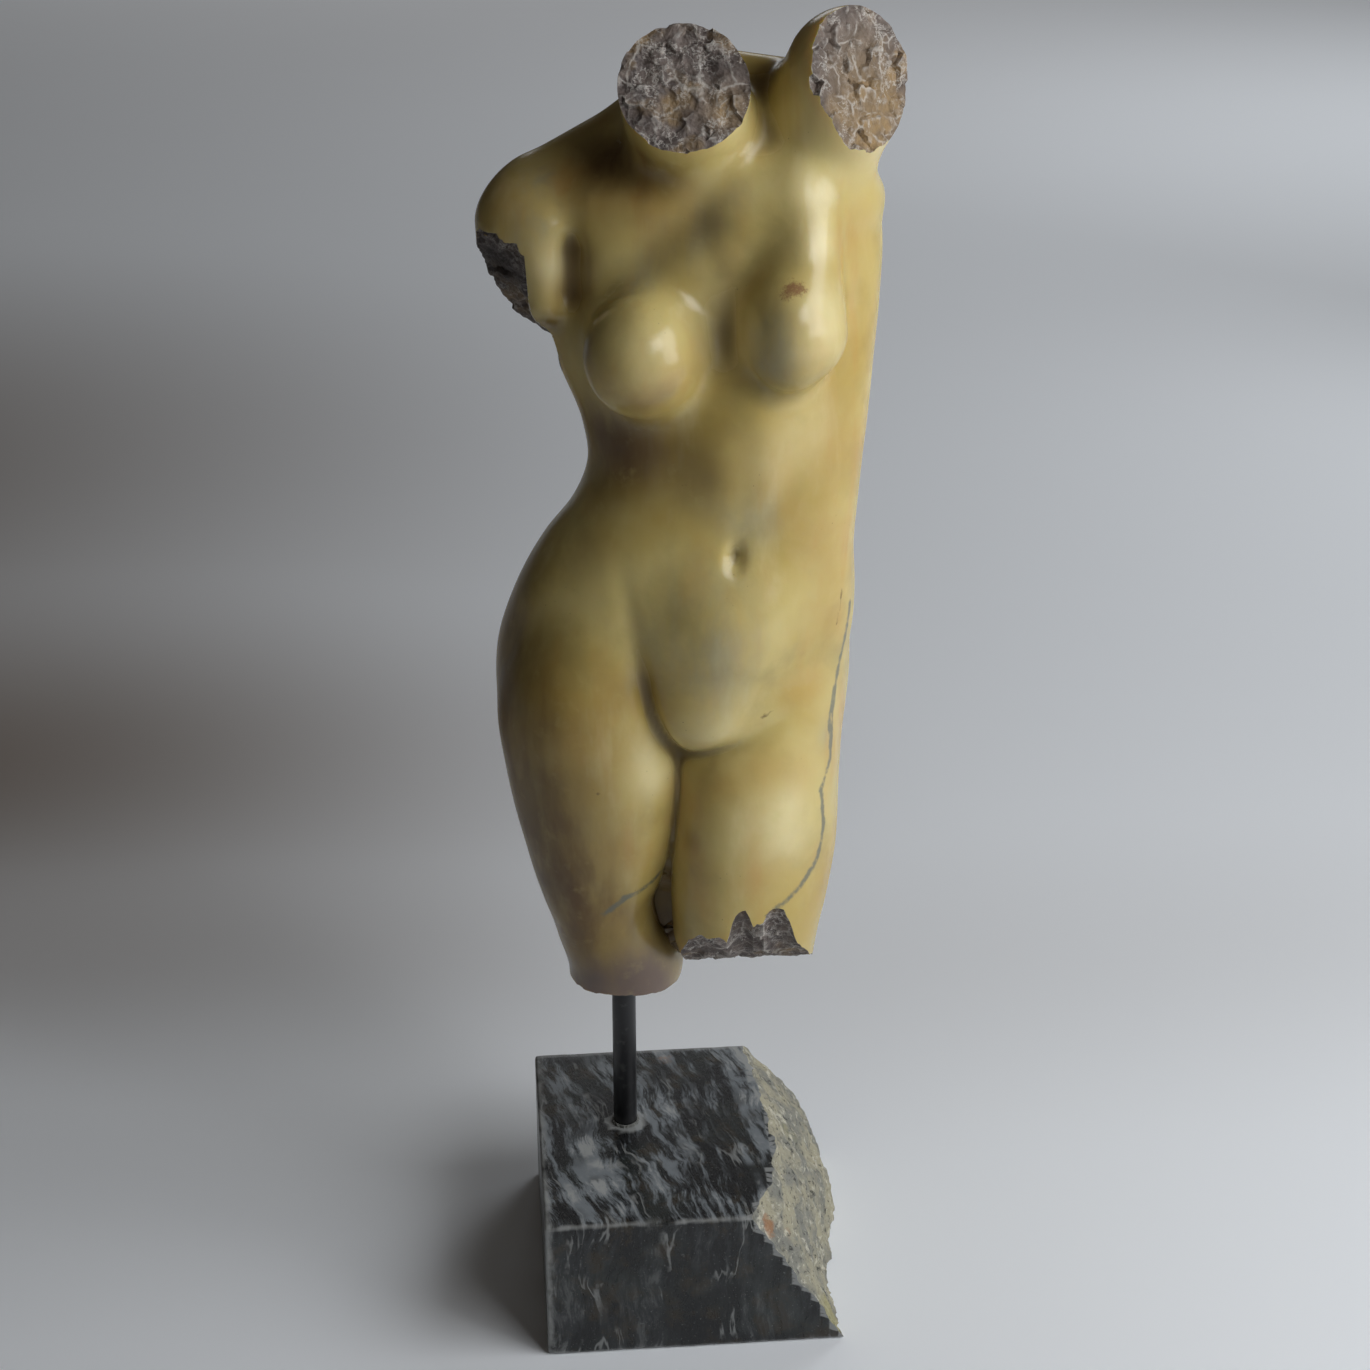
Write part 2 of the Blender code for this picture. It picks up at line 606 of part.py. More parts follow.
def plinth_break():
    """A cutter for the block's broken end, wider at its foot than at its top."""
    depths = PLINTH_FRONT + PLINTH_DEPTH * BREAK_DEPTHS
    block = bmesh.new()
    rows = []
    for j in range(BREAK_CELLS[1] + 1):
        share = beyond(j / BREAK_CELLS[1], BREAK_OVERRUN_UP)
        row = []
        for i in range(BREAK_CELLS[0] + 1):
            y = PLINTH_FRONT + PLINTH_DEPTH * beyond(i / BREAK_CELLS[0], BREAK_OVERRUN_ACROSS)
            foot = float(flow(depths, BREAK_FOOT, np.array(y)))
            head = float(flow(depths, BREAK_HEAD, np.array(y)))
            belly = BREAK_BELLY * i / BREAK_CELLS[0] * math.sin(math.pi * min(max(share, 0.0), 1.0))
            x = foot + (head - foot) * share + belly
            z = PLINTH_HEIGHT * share
            x += BREAK_RELIEF * crumple(Vector((x, y, z)), BREAK_GRAIN)
            row.append(block.verts.new((x, y, z)))
        rows.append(row)
    for low, high in zip(rows, rows[1:]):
        for i in range(BREAK_CELLS[0]):
            block.faces.new((low[i], low[i + 1], high[i + 1], high[i]))
    sheet = bmesh.ops.extrude_face_region(block, geom=block.faces[:])
    raised = [item for item in sheet["geom"] if isinstance(item, bmesh.types.BMVert)]
    for vertex in raised:
        vertex.co.x = PLINTH_LEFT + PLINTH_LENGTH_AT_FOOT + 2 * CUTTER_SPARE
    bmesh.ops.triangulate(block, faces=block.faces[:])
    return finished("broken end", block)


def rod():
    """The steel rod, sunk into the block and into the right thigh."""
    bottom = PLINTH_HEIGHT - ROD_SINK_IN_PLINTH
    top = PLINTH_HEIGHT + KNEE_BREAK_HEIGHT + ROD_SINK_IN_THIGH
    steel = post("rod", ROD_RADIUS, bottom, top, ROD_PLACE)
    steel.data.shade_smooth()
    steel.data.set_sharp_from_angle(angle=SHARP_EDGE)
    finish_with(steel, "mounting_rod", (0.022, 0.022, 0.024), 0.35, 0.6)
    return steel


# ---------------------------------------------------------------- the old breaks
def left_thigh_flakes(spot):
    """How far the left thigh's break climbs at a place: gently to the front, sharply at its flakes."""
    front = min(max((THIGH_CLIMB_START - spot.y) / THIGH_CLIMB_RUN, 0.0), 1.0)
    climb = THIGH_CLIMB * front**THIGH_CLIMB_CURVE
    for middle, half_width, height in THIGH_FLAKES:
        across = (spot.x - middle) / half_width
        climb += height * front**FLAKE_STEEPNESS * max(1.0 - across**FLAKE_SQUARENESS, 0.0)
    return climb


def knee_rim(spot):
    """How far the knee's break climbs towards its rim."""
    start, rim, height = KNEE_RIM
    out = (math.hypot(spot.x, spot.y) - start) / (rim - start)
    return height * min(max(out, 0.0), 1.0) ** 2


# Each break: name, centre, the way it faces, its width and height, how much it takes away, its
# cells, its relief, and how far the stone's skin is lifted along the break.
BREAKS = (
    ("neck", (0.0300, -0.0300, 0.5370), (0.0, -0.840, 0.545), (0.084, 0.084), 0.070, (14, 14), 0.0014),
    ("raised arm", (0.1044, -0.0200, 0.5399), (0.65, -0.71, 0.29), (0.090, 0.090), 0.080, (14, 14), 0.0022),
    ("right arm", (-0.0464, 0.0105, 0.4422), (-0.65, -0.53, -0.54), (0.054, 0.068), 0.060, (10, 11), 0.0020),
    (
        "right knee",
        (0.0000, 0.0000, KNEE_BREAK_HEIGHT),
        (0.0, 0.0, -1.0),
        (0.090, 0.090),
        0.055,
        (14, 14),
        0.0012,
        knee_rim,
    ),
    (
        "left thigh",
        (0.0797, -0.0100, THIGH_BREAK_HEIGHT),
        (0.05, 0.0, -1.0),
        (0.104, 0.100),
        0.110,
        (30, 18),
        0.0020,
        left_thigh_flakes,
    ),
)


def main():
    for thing in list(bpy.data.objects):
        bpy.data.objects.remove(thing)
    torso()
    rod()
    plinth()


if __name__ == "__main__":
    main()
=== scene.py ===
"""The looks of a carved marble torso of Venus on its rod and rough-ended stone block.

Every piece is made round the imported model, in metres, in the same frame.
"""

import math

import bpy
import numpy as np
from mathutils import Euler, Matrix, Vector, noise


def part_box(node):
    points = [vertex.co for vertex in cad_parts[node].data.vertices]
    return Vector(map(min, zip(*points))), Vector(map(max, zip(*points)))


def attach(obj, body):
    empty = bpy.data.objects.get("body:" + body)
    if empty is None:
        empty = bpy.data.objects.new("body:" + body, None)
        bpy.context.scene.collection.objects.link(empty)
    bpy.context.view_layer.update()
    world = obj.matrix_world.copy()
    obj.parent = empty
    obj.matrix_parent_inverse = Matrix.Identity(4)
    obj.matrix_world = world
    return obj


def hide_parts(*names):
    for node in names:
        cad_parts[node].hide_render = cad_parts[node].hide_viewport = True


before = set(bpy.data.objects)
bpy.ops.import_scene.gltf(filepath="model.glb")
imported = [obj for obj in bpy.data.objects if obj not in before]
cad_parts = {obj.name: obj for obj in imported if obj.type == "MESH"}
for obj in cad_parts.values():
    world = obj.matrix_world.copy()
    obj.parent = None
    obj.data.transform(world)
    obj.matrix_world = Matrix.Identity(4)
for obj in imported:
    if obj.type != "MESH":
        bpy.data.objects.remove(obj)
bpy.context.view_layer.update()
ROD_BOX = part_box("mounting_rod")
PLINTH_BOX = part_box("plinth")
TORSO_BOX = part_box("torso")

bl_info = {
    "name": "Marble torso on a plinth",
    "version": (1, 0, 0),
    "blender": (4, 5, 0),
    "location": "3D View > Sidebar > Torso",
    "description": "Carves the marble, finishes the rod and the stone block, and lights them",
    "category": "Object",
}

ROD_PLACE = (0.5 * (ROD_BOX[0].x + ROD_BOX[1].x), 0.5 * (ROD_BOX[0].y + ROD_BOX[1].y))
ROD_RADIUS = 0.5 * (ROD_BOX[1].x - ROD_BOX[0].x)
ROD_SIDES = 72
CLEARANCE = 0.0003
CUTTER_SPARE = 0.02
BLOCK_TOP = PLINTH_BOX[1].z
TORSO_TURN = math.radians(-5.0)
TO_PLACE = Matrix.Translation((*ROD_PLACE, BLOCK_TOP)) @ Matrix.Rotation(TORSO_TURN, 4, "Z")


# ---------------------------------------------------------------- settings
def colour(name, description, default):
    """A colour that can be changed in the panel."""
    return bpy.props.FloatVectorProperty(
        name=name, description=description, default=default, subtype="COLOR", min=0.0, max=1.0
    )


class MarbleSettings(bpy.types.PropertyGroup):
    """The marble of the torso."""

    grain: bpy.props.FloatProperty(
        name="Carving detail", description="Spacing of the points on the carved skin",
        default=0.0021, min=0.0019, max=0.006, unit="LENGTH", precision=4,
    )
    honey: colour("Honey", "Main colour of the marble", (0.51, 0.370, 0.100))
    cream: colour("Cream", "Pale clouds in the marble", (0.64, 0.525, 0.205))
    olive: colour("Olive", "Grey-green clouds in the marble", (0.38, 0.30, 0.105))
    ochre: colour("Ochre", "Orange streaks and patches", (0.56, 0.34, 0.10))
    ash: colour("Ash", "Cool grey clouds", (0.33, 0.32, 0.23))
    # also painted highlights and painted light where the window's light falls
    pale: colour("Pale", "Palest parts of the polished skin", (0.82, 0.715, 0.39))
    mauve: colour("Mauve", "Purplish brown at the knee", (0.20, 0.145, 0.115))
    # partly painted shade: brown laid where the skin turns away from the window or lies in shadow
    patina_and_shade: colour("Patina", "Brown patina on the right hip, ribs and neck", (0.105, 0.045, 0.011))
    # also the painted shade in the creases, under the ribs and between the thighs
    umber_and_shade: colour("Umber", "Old grime in the hollows", (0.085, 0.042, 0.016))
    vein: colour("Vein", "Slate veins", (0.125, 0.14, 0.115))
    rust: colour("Rust", "Reddish spot on the left breast", (0.23, 0.085, 0.05))
    chip: colour("Chips", "White crystals on ridges and chipped rims", (0.66, 0.62, 0.56))
    core: colour("Broken stone", "Main colour of the broken faces", (0.215, 0.172, 0.148))
    # also the painted shade in the pits
    dark_core: colour("Dark broken stone", "Pits in the broken faces", (0.090, 0.070, 0.063))
    tan_core: colour("Tan broken stone", "Yellowish patches in the broken faces", (0.37, 0.245, 0.105))
    # painted shadow: the right arm's break and the stone between the thighs, where they lie in shade
    broken_shadow: colour("Soot", "Darkest hollows of the broken faces", (0.022, 0.015, 0.013))


class BlockSettings(bpy.types.PropertyGroup):
    """The stone block that the rod stands in."""

    edge: bpy.props.FloatProperty(
        name="Worn edge", description="Width of the worn edges",
        default=0.0014, min=0.0005, max=0.004, unit="LENGTH", precision=4,
    )
    stone: colour("Stone", "Main colour of the polished stone", (0.011, 0.0115, 0.012))
    green: colour("Green", "Green-grey clouds", (0.022, 0.026, 0.024))
    brown: colour("Brown", "Brownish clouds", (0.036, 0.027, 0.016))
    streak: colour("Streaks", "Smoky blue-grey streaks", (0.190, 0.212, 0.228))
    bright: colour("Bright streaks", "Palest streaks and specks", (0.36, 0.37, 0.36))
    crust: colour("Crust", "Weathered crust on the broken end", (0.42, 0.39, 0.28))
    grey_crust: colour("Grey crust", "Grey parts of the broken end", (0.25, 0.25, 0.215))
    pale_crust: colour("Pale crust", "Palest grains of the broken end", (0.68, 0.65, 0.53))
    rust: colour("Rust", "Rusty stains", (0.36, 0.17, 0.07))
    lichen: colour("Lichen", "Olive-yellow stains", (0.36, 0.33, 0.10))


class RodSettings(bpy.types.PropertyGroup):
    """The steel rod."""

    steel: colour("Steel", "Colour of the black finish", (0.008, 0.008, 0.009))
    dust: colour("Dust", "Dust on the rod and its sealant", (0.16, 0.16, 0.15))
    sealant: colour("Sealant", "Colour of the ring of sealant", (0.24, 0.245, 0.225))
    rim: bpy.props.FloatProperty(
        name="Rim", description="Width of the rod's bevelled rims",
        default=0.0006, min=0.0001, max=0.002, unit="LENGTH", precision=4,
    )
    bead: bpy.props.FloatProperty(
        name="Sealant width", description="How far the ring of sealant spreads from the rod",
        default=0.0008, min=0.0004, max=0.004, unit="LENGTH", precision=4,
    )


class StageSettings(bpy.types.PropertyGroup):
    """The studio."""

    paper: colour("Backdrop", "Colour of the floor", (0.94, 0.97, 1.0))
    # painted shadow: the colour that the floor's painted shadows darken it to
    floor_shadow: colour("Far corner", "Colour the floor fades to on the far left", (0.24, 0.195, 0.160))
    air: colour("Room light", "Colour of the light from all round", (1.0, 0.86, 0.72))
    window: bpy.props.FloatProperty(
        name="Window", description="Power of the tall window on the right",
        default=16.0, min=0.0, subtype="POWER",
    )
    room: bpy.props.FloatProperty(
        name="Room", description="Brightness of the room all round",
        default=0.035, min=0.0,
    )


# ---------------------------------------------------------------- the form of the body
def flow(heights, values, z):
    """A smooth curve through the values at the given heights."""
    slopes = np.gradient(values, heights)
    z = np.clip(z, heights[0], heights[-1])
    i = np.clip(np.searchsorted(heights, z, side="right") - 1, 0, len(heights) - 2)
    step = heights[i + 1] - heights[i]
    t = (z - heights[i]) / step
    return (
        (1 + 2 * t) * (1 - t) ** 2 * values[i]
        + t * (1 - t) ** 2 * step * slopes[i]
        + t * t * (3 - 2 * t) * values[i + 1]
        + t * t * (t - 1) * step * slopes[i + 1]
    )


def route_through(path, steps=6):
    """A smooth route through the points, with that many steps from each to the next."""
    corners = np.array(path)
    places = np.arange(len(corners), dtype=float)
    fine = np.linspace(0.0, places[-1], steps * (len(corners) - 1) + 1)
    return np.stack([flow(places, corners[:, k], fine) for k in range(3)], axis=1)


def melt(a, b, width):
    """Union of two forms with a soft joint of that width."""
    share = np.clip(0.5 + 0.5 * (b - a) / width, 0.0, 1.0)
    return b + (a - b) * share - width * share * (1.0 - share)


def ball(centre, radii, turn=(0.0, 0.0, 0.0)):
    """Add a ball, stretched and turned (degrees) into place."""
    bpy.ops.mesh.primitive_ico_sphere_add(
        subdivisions=3, radius=1.0, location=centre,
        rotation=[math.radians(angle) for angle in turn],
    )
    bpy.context.object.scale = radii
    return bpy.context.object


class Egg:
    """An ellipsoid mass."""

    def __init__(self, centre, radii, turn=(0.0, 0.0, 0.0)):
        self.centre, self.radii, self.turn = centre, np.array(radii), turn

    def distance(self, points):
        turn = np.array(Euler([math.radians(angle) for angle in self.turn]).to_matrix())
        local = (points - np.array(self.centre)) @ turn
        near = np.linalg.norm(local / self.radii, axis=1)
        steep = np.linalg.norm(local / self.radii**2, axis=1)
        return near * (near - 1.0) / np.maximum(steep, 1e-9)

    def block(self):
        return [ball(self.centre, self.radii, self.turn)]


class Limb:
    """A round, tapering mass with rounded ends, between two centres."""

    def __init__(self, start, end, start_radius, end_radius):
        self.start, self.end = np.array(start), np.array(end)
        self.start_radius, self.end_radius = start_radius, end_radius

    def distance(self, points):
        axis = self.end - self.start
        local = points - self.start
        along = np.clip(local @ axis / (axis @ axis), 0.0, 1.0)
        radius = self.start_radius + (self.end_radius - self.start_radius) * along
        return np.linalg.norm(local - along[:, None] * axis, axis=1) - radius

    def block(self):
        beads = []
        for share in np.linspace(0.0, 1.0, 6):
            radius = self.start_radius + (self.end_radius - self.start_radius) * share
            beads.append(ball(self.start + (self.end - self.start) * share, (radius,) * 3))
        return beads


class Loft:
    """A mass lofted through level sections, with soft ends.

    Each section is its height, its middle and half width across, then how far its front and its
    back stand from the rod's axis. A squareness of 2 gives ellipses, and more gives fuller corners.
    The lean moves a section's front to one side.
    """

    def __init__(self, sections, squareness, lean=0.0, end=0.012):
        self.sections, self.squareness = np.array(sections), squareness
        self.lean, self.end = lean, end

    def distance(self, points):
        z = points[:, 2]
        heights = self.sections[:, 0]
        middle, half, front, back = (flow(heights, self.sections[:, k], z) for k in (1, 2, 3, 4))
        x = points[:, 0] - middle - self.lean * points[:, 1]
        y = points[:, 1] - 0.5 * (front + back)
        power = self.squareness
        reach = (np.abs(x / half) ** power + np.abs(2 * y / (back - front)) ** power) ** (1 / power)
        side = np.hypot(x, y) * (1.0 - 1.0 / np.maximum(reach, 1e-6))
        over = np.maximum(heights[0] - z, z - heights[-1])
        rounded = np.hypot(np.maximum(side + self.end, 0.0), over) - self.end
        return np.where(over > 0.0, rounded, side)

    def block(self):
        rings = []
        for height, middle, half, front, back in self.sections:
            bpy.ops.mesh.primitive_circle_add(
                vertices=40, radius=1.0, location=(middle, 0.5 * (front + back), height)
            )
            bpy.context.object.scale = (half, 0.5 * (back - front), 1.0)
            rings.append(bpy.context.object)
        loft = joined(rings)
        bpy.ops.object.mode_set(mode="EDIT")
        bpy.ops.mesh.select_all(action="SELECT")
        bpy.ops.mesh.bridge_edge_loops()
        bpy.ops.mesh.select_all(action="DESELECT")
        bpy.ops.mesh.select_non_manifold()
        bpy.ops.mesh.edge_face_add()
        bpy.ops.mesh.select_all(action="SELECT")
        bpy.ops.mesh.normals_make_consistent(inside=False)
        bpy.ops.object.mode_set(mode="OBJECT")
        return [loft]


class Stroke:
    """A groove carved along a path, or a ridge raised along it where the depth is negative."""

    REACH = 2.6  # how many widths from its path it still shows
    RUN_OUT = 0.25  # the share of its length over which each end runs out
    END_DEPTH = 0.15  # the share of its depth left at the very end

    def __init__(self, path, width, depth):
        self.path, self.width, self.depth = route_through(path), width, depth

    def cut(self, points):
        reach = self.REACH * self.width
        low, high = self.path.min(axis=0) - reach, self.path.max(axis=0) + reach
        near = ((points > low) & (points < high)).all(axis=1)
        cut = np.zeros(len(points))
        if not near.any():
            return cut
        local = points[near]
        closest = np.full(len(local), np.inf)
        place = np.zeros(len(local))
        pieces = len(self.path) - 1
        for k in range(pieces):
            start, axis = self.path[k], self.path[k + 1] - self.path[k]
            along = np.clip((local - start) @ axis / (axis @ axis), 0.0, 1.0)
            gap = np.linalg.norm(local - start - along[:, None] * axis, axis=1)
            better = gap < closest
            closest = np.where(better, gap, closest)
            place = np.where(better, (k + along) / pieces, place)
        ends = np.clip(np.minimum(place, 1.0 - place) / self.RUN_OUT, 0.0, 1.0)
        ends = self.END_DEPTH + (1.0 - self.END_DEPTH) * ends
        cut[near] = self.depth * np.exp(-((closest / self.width) ** 2)) * ends
        return cut


class Dent:
    """A round hollow, or a swelling where the depth is negative."""

    def __init__(self, centre, radii, depth):
        self.centre, self.radii, self.depth = np.array(centre), np.array(radii), depth

    def cut(self, points):
        return self.depth * np.exp(-(((points - self.centre) / self.radii) ** 2).sum(axis=1))


TRUNK = Loft(
    [
        # height  middle  half    front    back
        (0.222, 0.0230, 0.0640, -0.0240, 0.0300),
        (0.240, 0.0230, 0.0760, -0.0320, 0.0420),
        (0.262, 0.0255, 0.0807, -0.0380, 0.0490),
        (0.284, 0.0290, 0.0808, -0.0430, 0.0520),
        (0.302, 0.0315, 0.0787, -0.0450, 0.0510),
        (0.325, 0.0370, 0.0720, -0.0445, 0.0465),
        (0.344, 0.0445, 0.0655, -0.0430, 0.0420),
        (0.364, 0.0490, 0.0625, -0.0410, 0.0405),
        (0.383, 0.0488, 0.0645, -0.0400, 0.0425),
        (0.411, 0.0445, 0.0710, -0.0390, 0.0480),
        (0.440, 0.0425, 0.0752, -0.0360, 0.0540),
        (0.468, 0.0410, 0.0770, -0.0320, 0.0570),
        (0.492, 0.0445, 0.0685, -0.0270, 0.0550),
        (0.510, 0.0410, 0.0350, -0.0210, 0.0480),
    ],
    squareness=2.2,
)
RIGHT_THIGH = Loft(
    [
        (0.060, -0.0010, 0.0240, -0.0250, 0.0270),
        (0.085, 0.0004, 0.0271, -0.0280, 0.0290),
        (0.100, 0.0012, 0.0288, -0.0300, 0.0300),
        (0.118, -0.0036, 0.0287, -0.0340, 0.0320),
        (0.130, -0.0080, 0.0272, -0.0370, 0.0340),
        (0.142, -0.0110, 0.0280, -0.0400, 0.0360),
        (0.156, -0.0105, 0.0327, -0.0430, 0.0390),
        (0.172, -0.0095, 0.0375, -0.0460, 0.0420),
        (0.190, -0.0093, 0.0420, -0.0480, 0.0450),
        (0.212, -0.0100, 0.0452, -0.0500, 0.0480),
        (0.242, -0.0128, 0.0456, -0.0500, 0.0520),
        (0.265, -0.0110, 0.0440, -0.0475, 0.0520),
        (0.290, -0.0020, 0.0410, -0.0430, 0.0460),
        (0.330, 0.0140, 0.0300, -0.0300, 0.0300),
    ],
    squareness=2.3,
)
LEFT_THIGH = Loft(
    [
        (0.070, 0.0690, 0.0220, -0.0460, 0.0180),
        (0.095, 0.0680, 0.0265, -0.0490, 0.0210),
        (0.113, 0.0655, 0.0315, -0.0510, 0.0240),
        (0.126, 0.0640, 0.0350, -0.0530, 0.0270),
        (0.138, 0.0646, 0.0368, -0.0545, 0.0300),
        (0.150, 0.0653, 0.0380, -0.0555, 0.0320),
        (0.164, 0.0661, 0.0390, -0.0560, 0.0350),
        (0.203, 0.0665, 0.0390, -0.0540, 0.0430),
        (0.240, 0.0662, 0.0397, -0.0460, 0.0490),
        (0.262, 0.0660, 0.0400, -0.0410, 0.0500),
        (0.290, 0.0640, 0.0380, -0.0360, 0.0440),
        (0.325, 0.0600, 0.0320, -0.0280, 0.0300),
    ],
    squareness=2.1,
    lean=0.18,
)

# Each mass, and how softly it melts into what is above it in the list.
MASSES = (
    (TRUNK, 0.0),
    # belly and the mound below it
    (Egg((0.0445, -0.014, 0.292), (0.041, 0.042, 0.052), (0, 14, 0)), 0.012),
    (Egg((0.0390, -0.019, 0.2560), (0.0320, 0.034, 0.0290), (0, 14, 0)), 0.010),
    # the upper belly below the ribs
    (Egg((0.0575, -0.018, 0.386), (0.0290, 0.030, 0.046), (0, 6, 0)), 0.014),
    (RIGHT_THIGH, 0.004),
    (LEFT_THIGH, 0.005),
    # the web of stone left between the thighs
    (Limb((0.0285, 0.004, 0.238), (0.0240, 0.022, 0.130), 0.020, 0.015), 0.006),
    # buttocks
    (Egg((-0.013, 0.029, 0.260), (0.043, 0.042, 0.045)), 0.018),
    (Egg((0.065, 0.027, 0.252), (0.038, 0.041, 0.045)), 0.018),
    # breasts
    (Egg((0.0128, -0.036, 0.4240), (0.0258, 0.0310, 0.0280), (-12, 0, -8)), 0.012),
    (Egg((0.0600, -0.0060, 0.4800), (0.0420, 0.0300, 0.0360), (0, -12, 0)), 0.018),
    (Egg((0.0745, -0.0355, 0.4360), (0.0208, 0.0300, 0.0296), (-12, 0, 8)), 0.010),
    (Limb((0.0790, -0.0180, 0.4960), (0.0838, -0.0375, 0.4340), 0.0150, 0.0165), 0.010),
    # shoulders
    (Limb((0.016, 0.020, 0.507), (-0.0285, 0.014, 0.4800), 0.0185, 0.0214), 0.016),
    (Limb((0.045, 0.024, 0.5185), (0.0880, 0.014, 0.514), 0.024, 0.0245), 0.018),
    # arms and neck
    (Limb((-0.0362, 0.008, 0.4695), (-0.0400, 0.008, 0.4360), 0.0256, 0.0205), 0.010),
    (Limb((-0.0315, -0.0070, 0.4700), (-0.0285, -0.0100, 0.4410), 0.0115, 0.0110), 0.006),
    (Limb((0.0895, 0.0020, 0.4900), (0.0945, -0.0120, 0.5220), 0.0210, 0.0235), 0.012),
    (Limb((0.0910, 0.0020, 0.5200), (0.1008, -0.0165, 0.5390), 0.0258, 0.0286), 0.008),
    (Limb((0.0340, 0.014, 0.494), (0.0292, -0.048, 0.5535), 0.0255, 0.0285), 0.012),
)

STROKES = (
    # groins, from the hips down to the fork, and the fine line at the bottom of each
    Stroke([(0.0010, -0.0390, 0.3290), (0.0079, -0.0441, 0.2924), (0.0109, -0.0434, 0.2721),
            (0.0149, -0.0432, 0.2579), (0.0203, -0.0421, 0.2446), (0.0305, -0.0355, 0.2287)], 0.0050, 0.0022),
    Stroke([(0.0305, -0.0355, 0.2287), (0.0379, -0.0412, 0.2313), (0.0471, -0.0447, 0.2356),
            (0.0572, -0.0452, 0.2400), (0.0691, -0.0426, 0.2464), (0.0803, -0.0370, 0.2519)], 0.0050, 0.0022),
    Stroke([(0.0109, -0.0430, 0.2721), (0.0149, -0.0428, 0.2579), (0.0203, -0.0417, 0.2446),
            (0.0305, -0.0345, 0.2287)], 0.0026, 0.0034),
    Stroke([(0.0305, -0.0345, 0.2287), (0.0379, -0.0408, 0.2313), (0.0471, -0.0443, 0.2356),
            (0.0572, -0.0448, 0.2400)], 0.0026, 0.0034),
    # the midline of the belly
    Stroke([(0.055, -0.045, 0.398), (0.057, -0.047, 0.380), (0.058, -0.048, 0.362), (0.056, -0.052, 0.345)],
           0.0070, 0.0010),
    # the crease between the ribs and the belly
    Stroke([(0.084, -0.038, 0.372), (0.074, -0.043, 0.358), (0.062, -0.047, 0.348), (0.048, -0.046, 0.346)],
           0.0060, 0.0016),
    # under the breasts
    Stroke([(-0.017, -0.044, 0.416), (-0.011, -0.049, 0.402), (-0.001, -0.051, 0.395), (0.012, -0.051, 0.394),
            (0.024, -0.048, 0.400)], 0.0035, 0.0018),
    Stroke([(0.056, -0.046, 0.424), (0.064, -0.049, 0.413), (0.076, -0.050, 0.409), (0.090, -0.046, 0.416)],
           0.0035, 0.0014),
    # breastbone, collar bones and the hollow below the right one
    Stroke([(0.036, -0.031, 0.490), (0.042, -0.034, 0.465), (0.047, -0.038, 0.440), (0.050, -0.041, 0.415)],
           0.0070, 0.0012),
    Stroke([(0.052, -0.025, 0.500), (0.036, -0.032, 0.482), (0.016, -0.033, 0.467), (-0.004, -0.030, 0.453),
            (-0.014, -0.026, 0.440)], 0.0090, 0.0030),
    Stroke([(-0.024, -0.014, 0.486), (-0.006, -0.020, 0.487), (0.012, -0.024, 0.486), (0.028, -0.027, 0.487)],
           0.0065, -0.0026),
    # the edge of the chest muscle up to the raised arm, and the furrow behind it
    Stroke([(0.079, -0.030, 0.514), (0.080, -0.033, 0.492), (0.084, -0.042, 0.468), (0.087, -0.050, 0.446)],
           0.0080, -0.0014),
    Stroke([(0.103, -0.020, 0.490), (0.104, -0.026, 0.462), (0.103, -0.030, 0.434), (0.100, -0.034, 0.410)],
           0.0060, 0.0010),
    # the fold between the right arm and the chest
    Stroke([(-0.018, -0.014, 0.474), (-0.0175, -0.018, 0.455), (-0.020, -0.018, 0.435)], 0.0062, 0.0060),
    # back: spine, cleft and the folds under the buttocks
    Stroke([(0.034, 0.053, 0.495), (0.040, 0.057, 0.455), (0.046, 0.050, 0.405), (0.048, 0.042, 0.365),
            (0.041, 0.046, 0.330), (0.034, 0.052, 0.305)], 0.0085, 0.0032),
    Stroke([(0.031, 0.054, 0.300), (0.027, 0.060, 0.270), (0.025, 0.056, 0.240), (0.025, 0.046, 0.215)],
           0.0060, 0.0070),
    Stroke([(0.022, 0.050, 0.222), (0.002, 0.055, 0.217), (-0.022, 0.051, 0.219), (-0.042, 0.038, 0.228)],
           0.0060, 0.0030),
    Stroke([(0.028, 0.048, 0.214), (0.048, 0.052, 0.208), (0.070, 0.048, 0.210), (0.090, 0.036, 0.220)],
           0.0060, 0.0030),
    # shoulder blades
    Stroke([(0.022, 0.054, 0.425), (0.014, 0.057, 0.450), (-0.004, 0.054, 0.476)], 0.0120, -0.0035),
    Stroke([(0.066, 0.054, 0.428), (0.074, 0.057, 0.455), (0.082, 0.050, 0.488)], 0.0120, -0.0035),
)
DENTS = (
    # navel
    Dent((0.0534, -0.0540, 0.3330), (0.0036, 0.0120, 0.0054), 0.0120),
    # the two hollows above the buttocks
    Dent((0.014, 0.052, 0.318), (0.009, 0.012, 0.009), 0.0018),
    Dent((0.062, 0.050, 0.316), (0.009, 0.012, 0.009), 0.0018),
)


def body(points):
    """The whole torso as one blended form: negative inside the stone, zero on its skin."""
    form = MASSES[0][0].distance(points)
    for mass, softness in MASSES[1:]:
        form = melt(form, mass.distance(points), softness)
    for carving in STROKES + DENTS:
        form = form + carving.cut(points)
    return form


# ---------------------------------------------------------------- Blender helpers
def pick(things):
    """Select only these, the first one active."""
    bpy.ops.object.select_all(action="DESELECT")
    for thing in things:
        thing.select_set(True)
    bpy.context.view_layer.objects.active = things[0]


def joined(things):
    """One object from several, with its place in its mesh."""
    pick(things)
    bpy.ops.object.transform_apply(location=True, rotation=True, scale=True)
    bpy.ops.object.join()
    return bpy.context.object


def apply_modifiers(thing):
    pick([thing])
    for modifier in list(thing.modifiers):
        bpy.ops.object.modifier_apply(modifier=modifier.name)


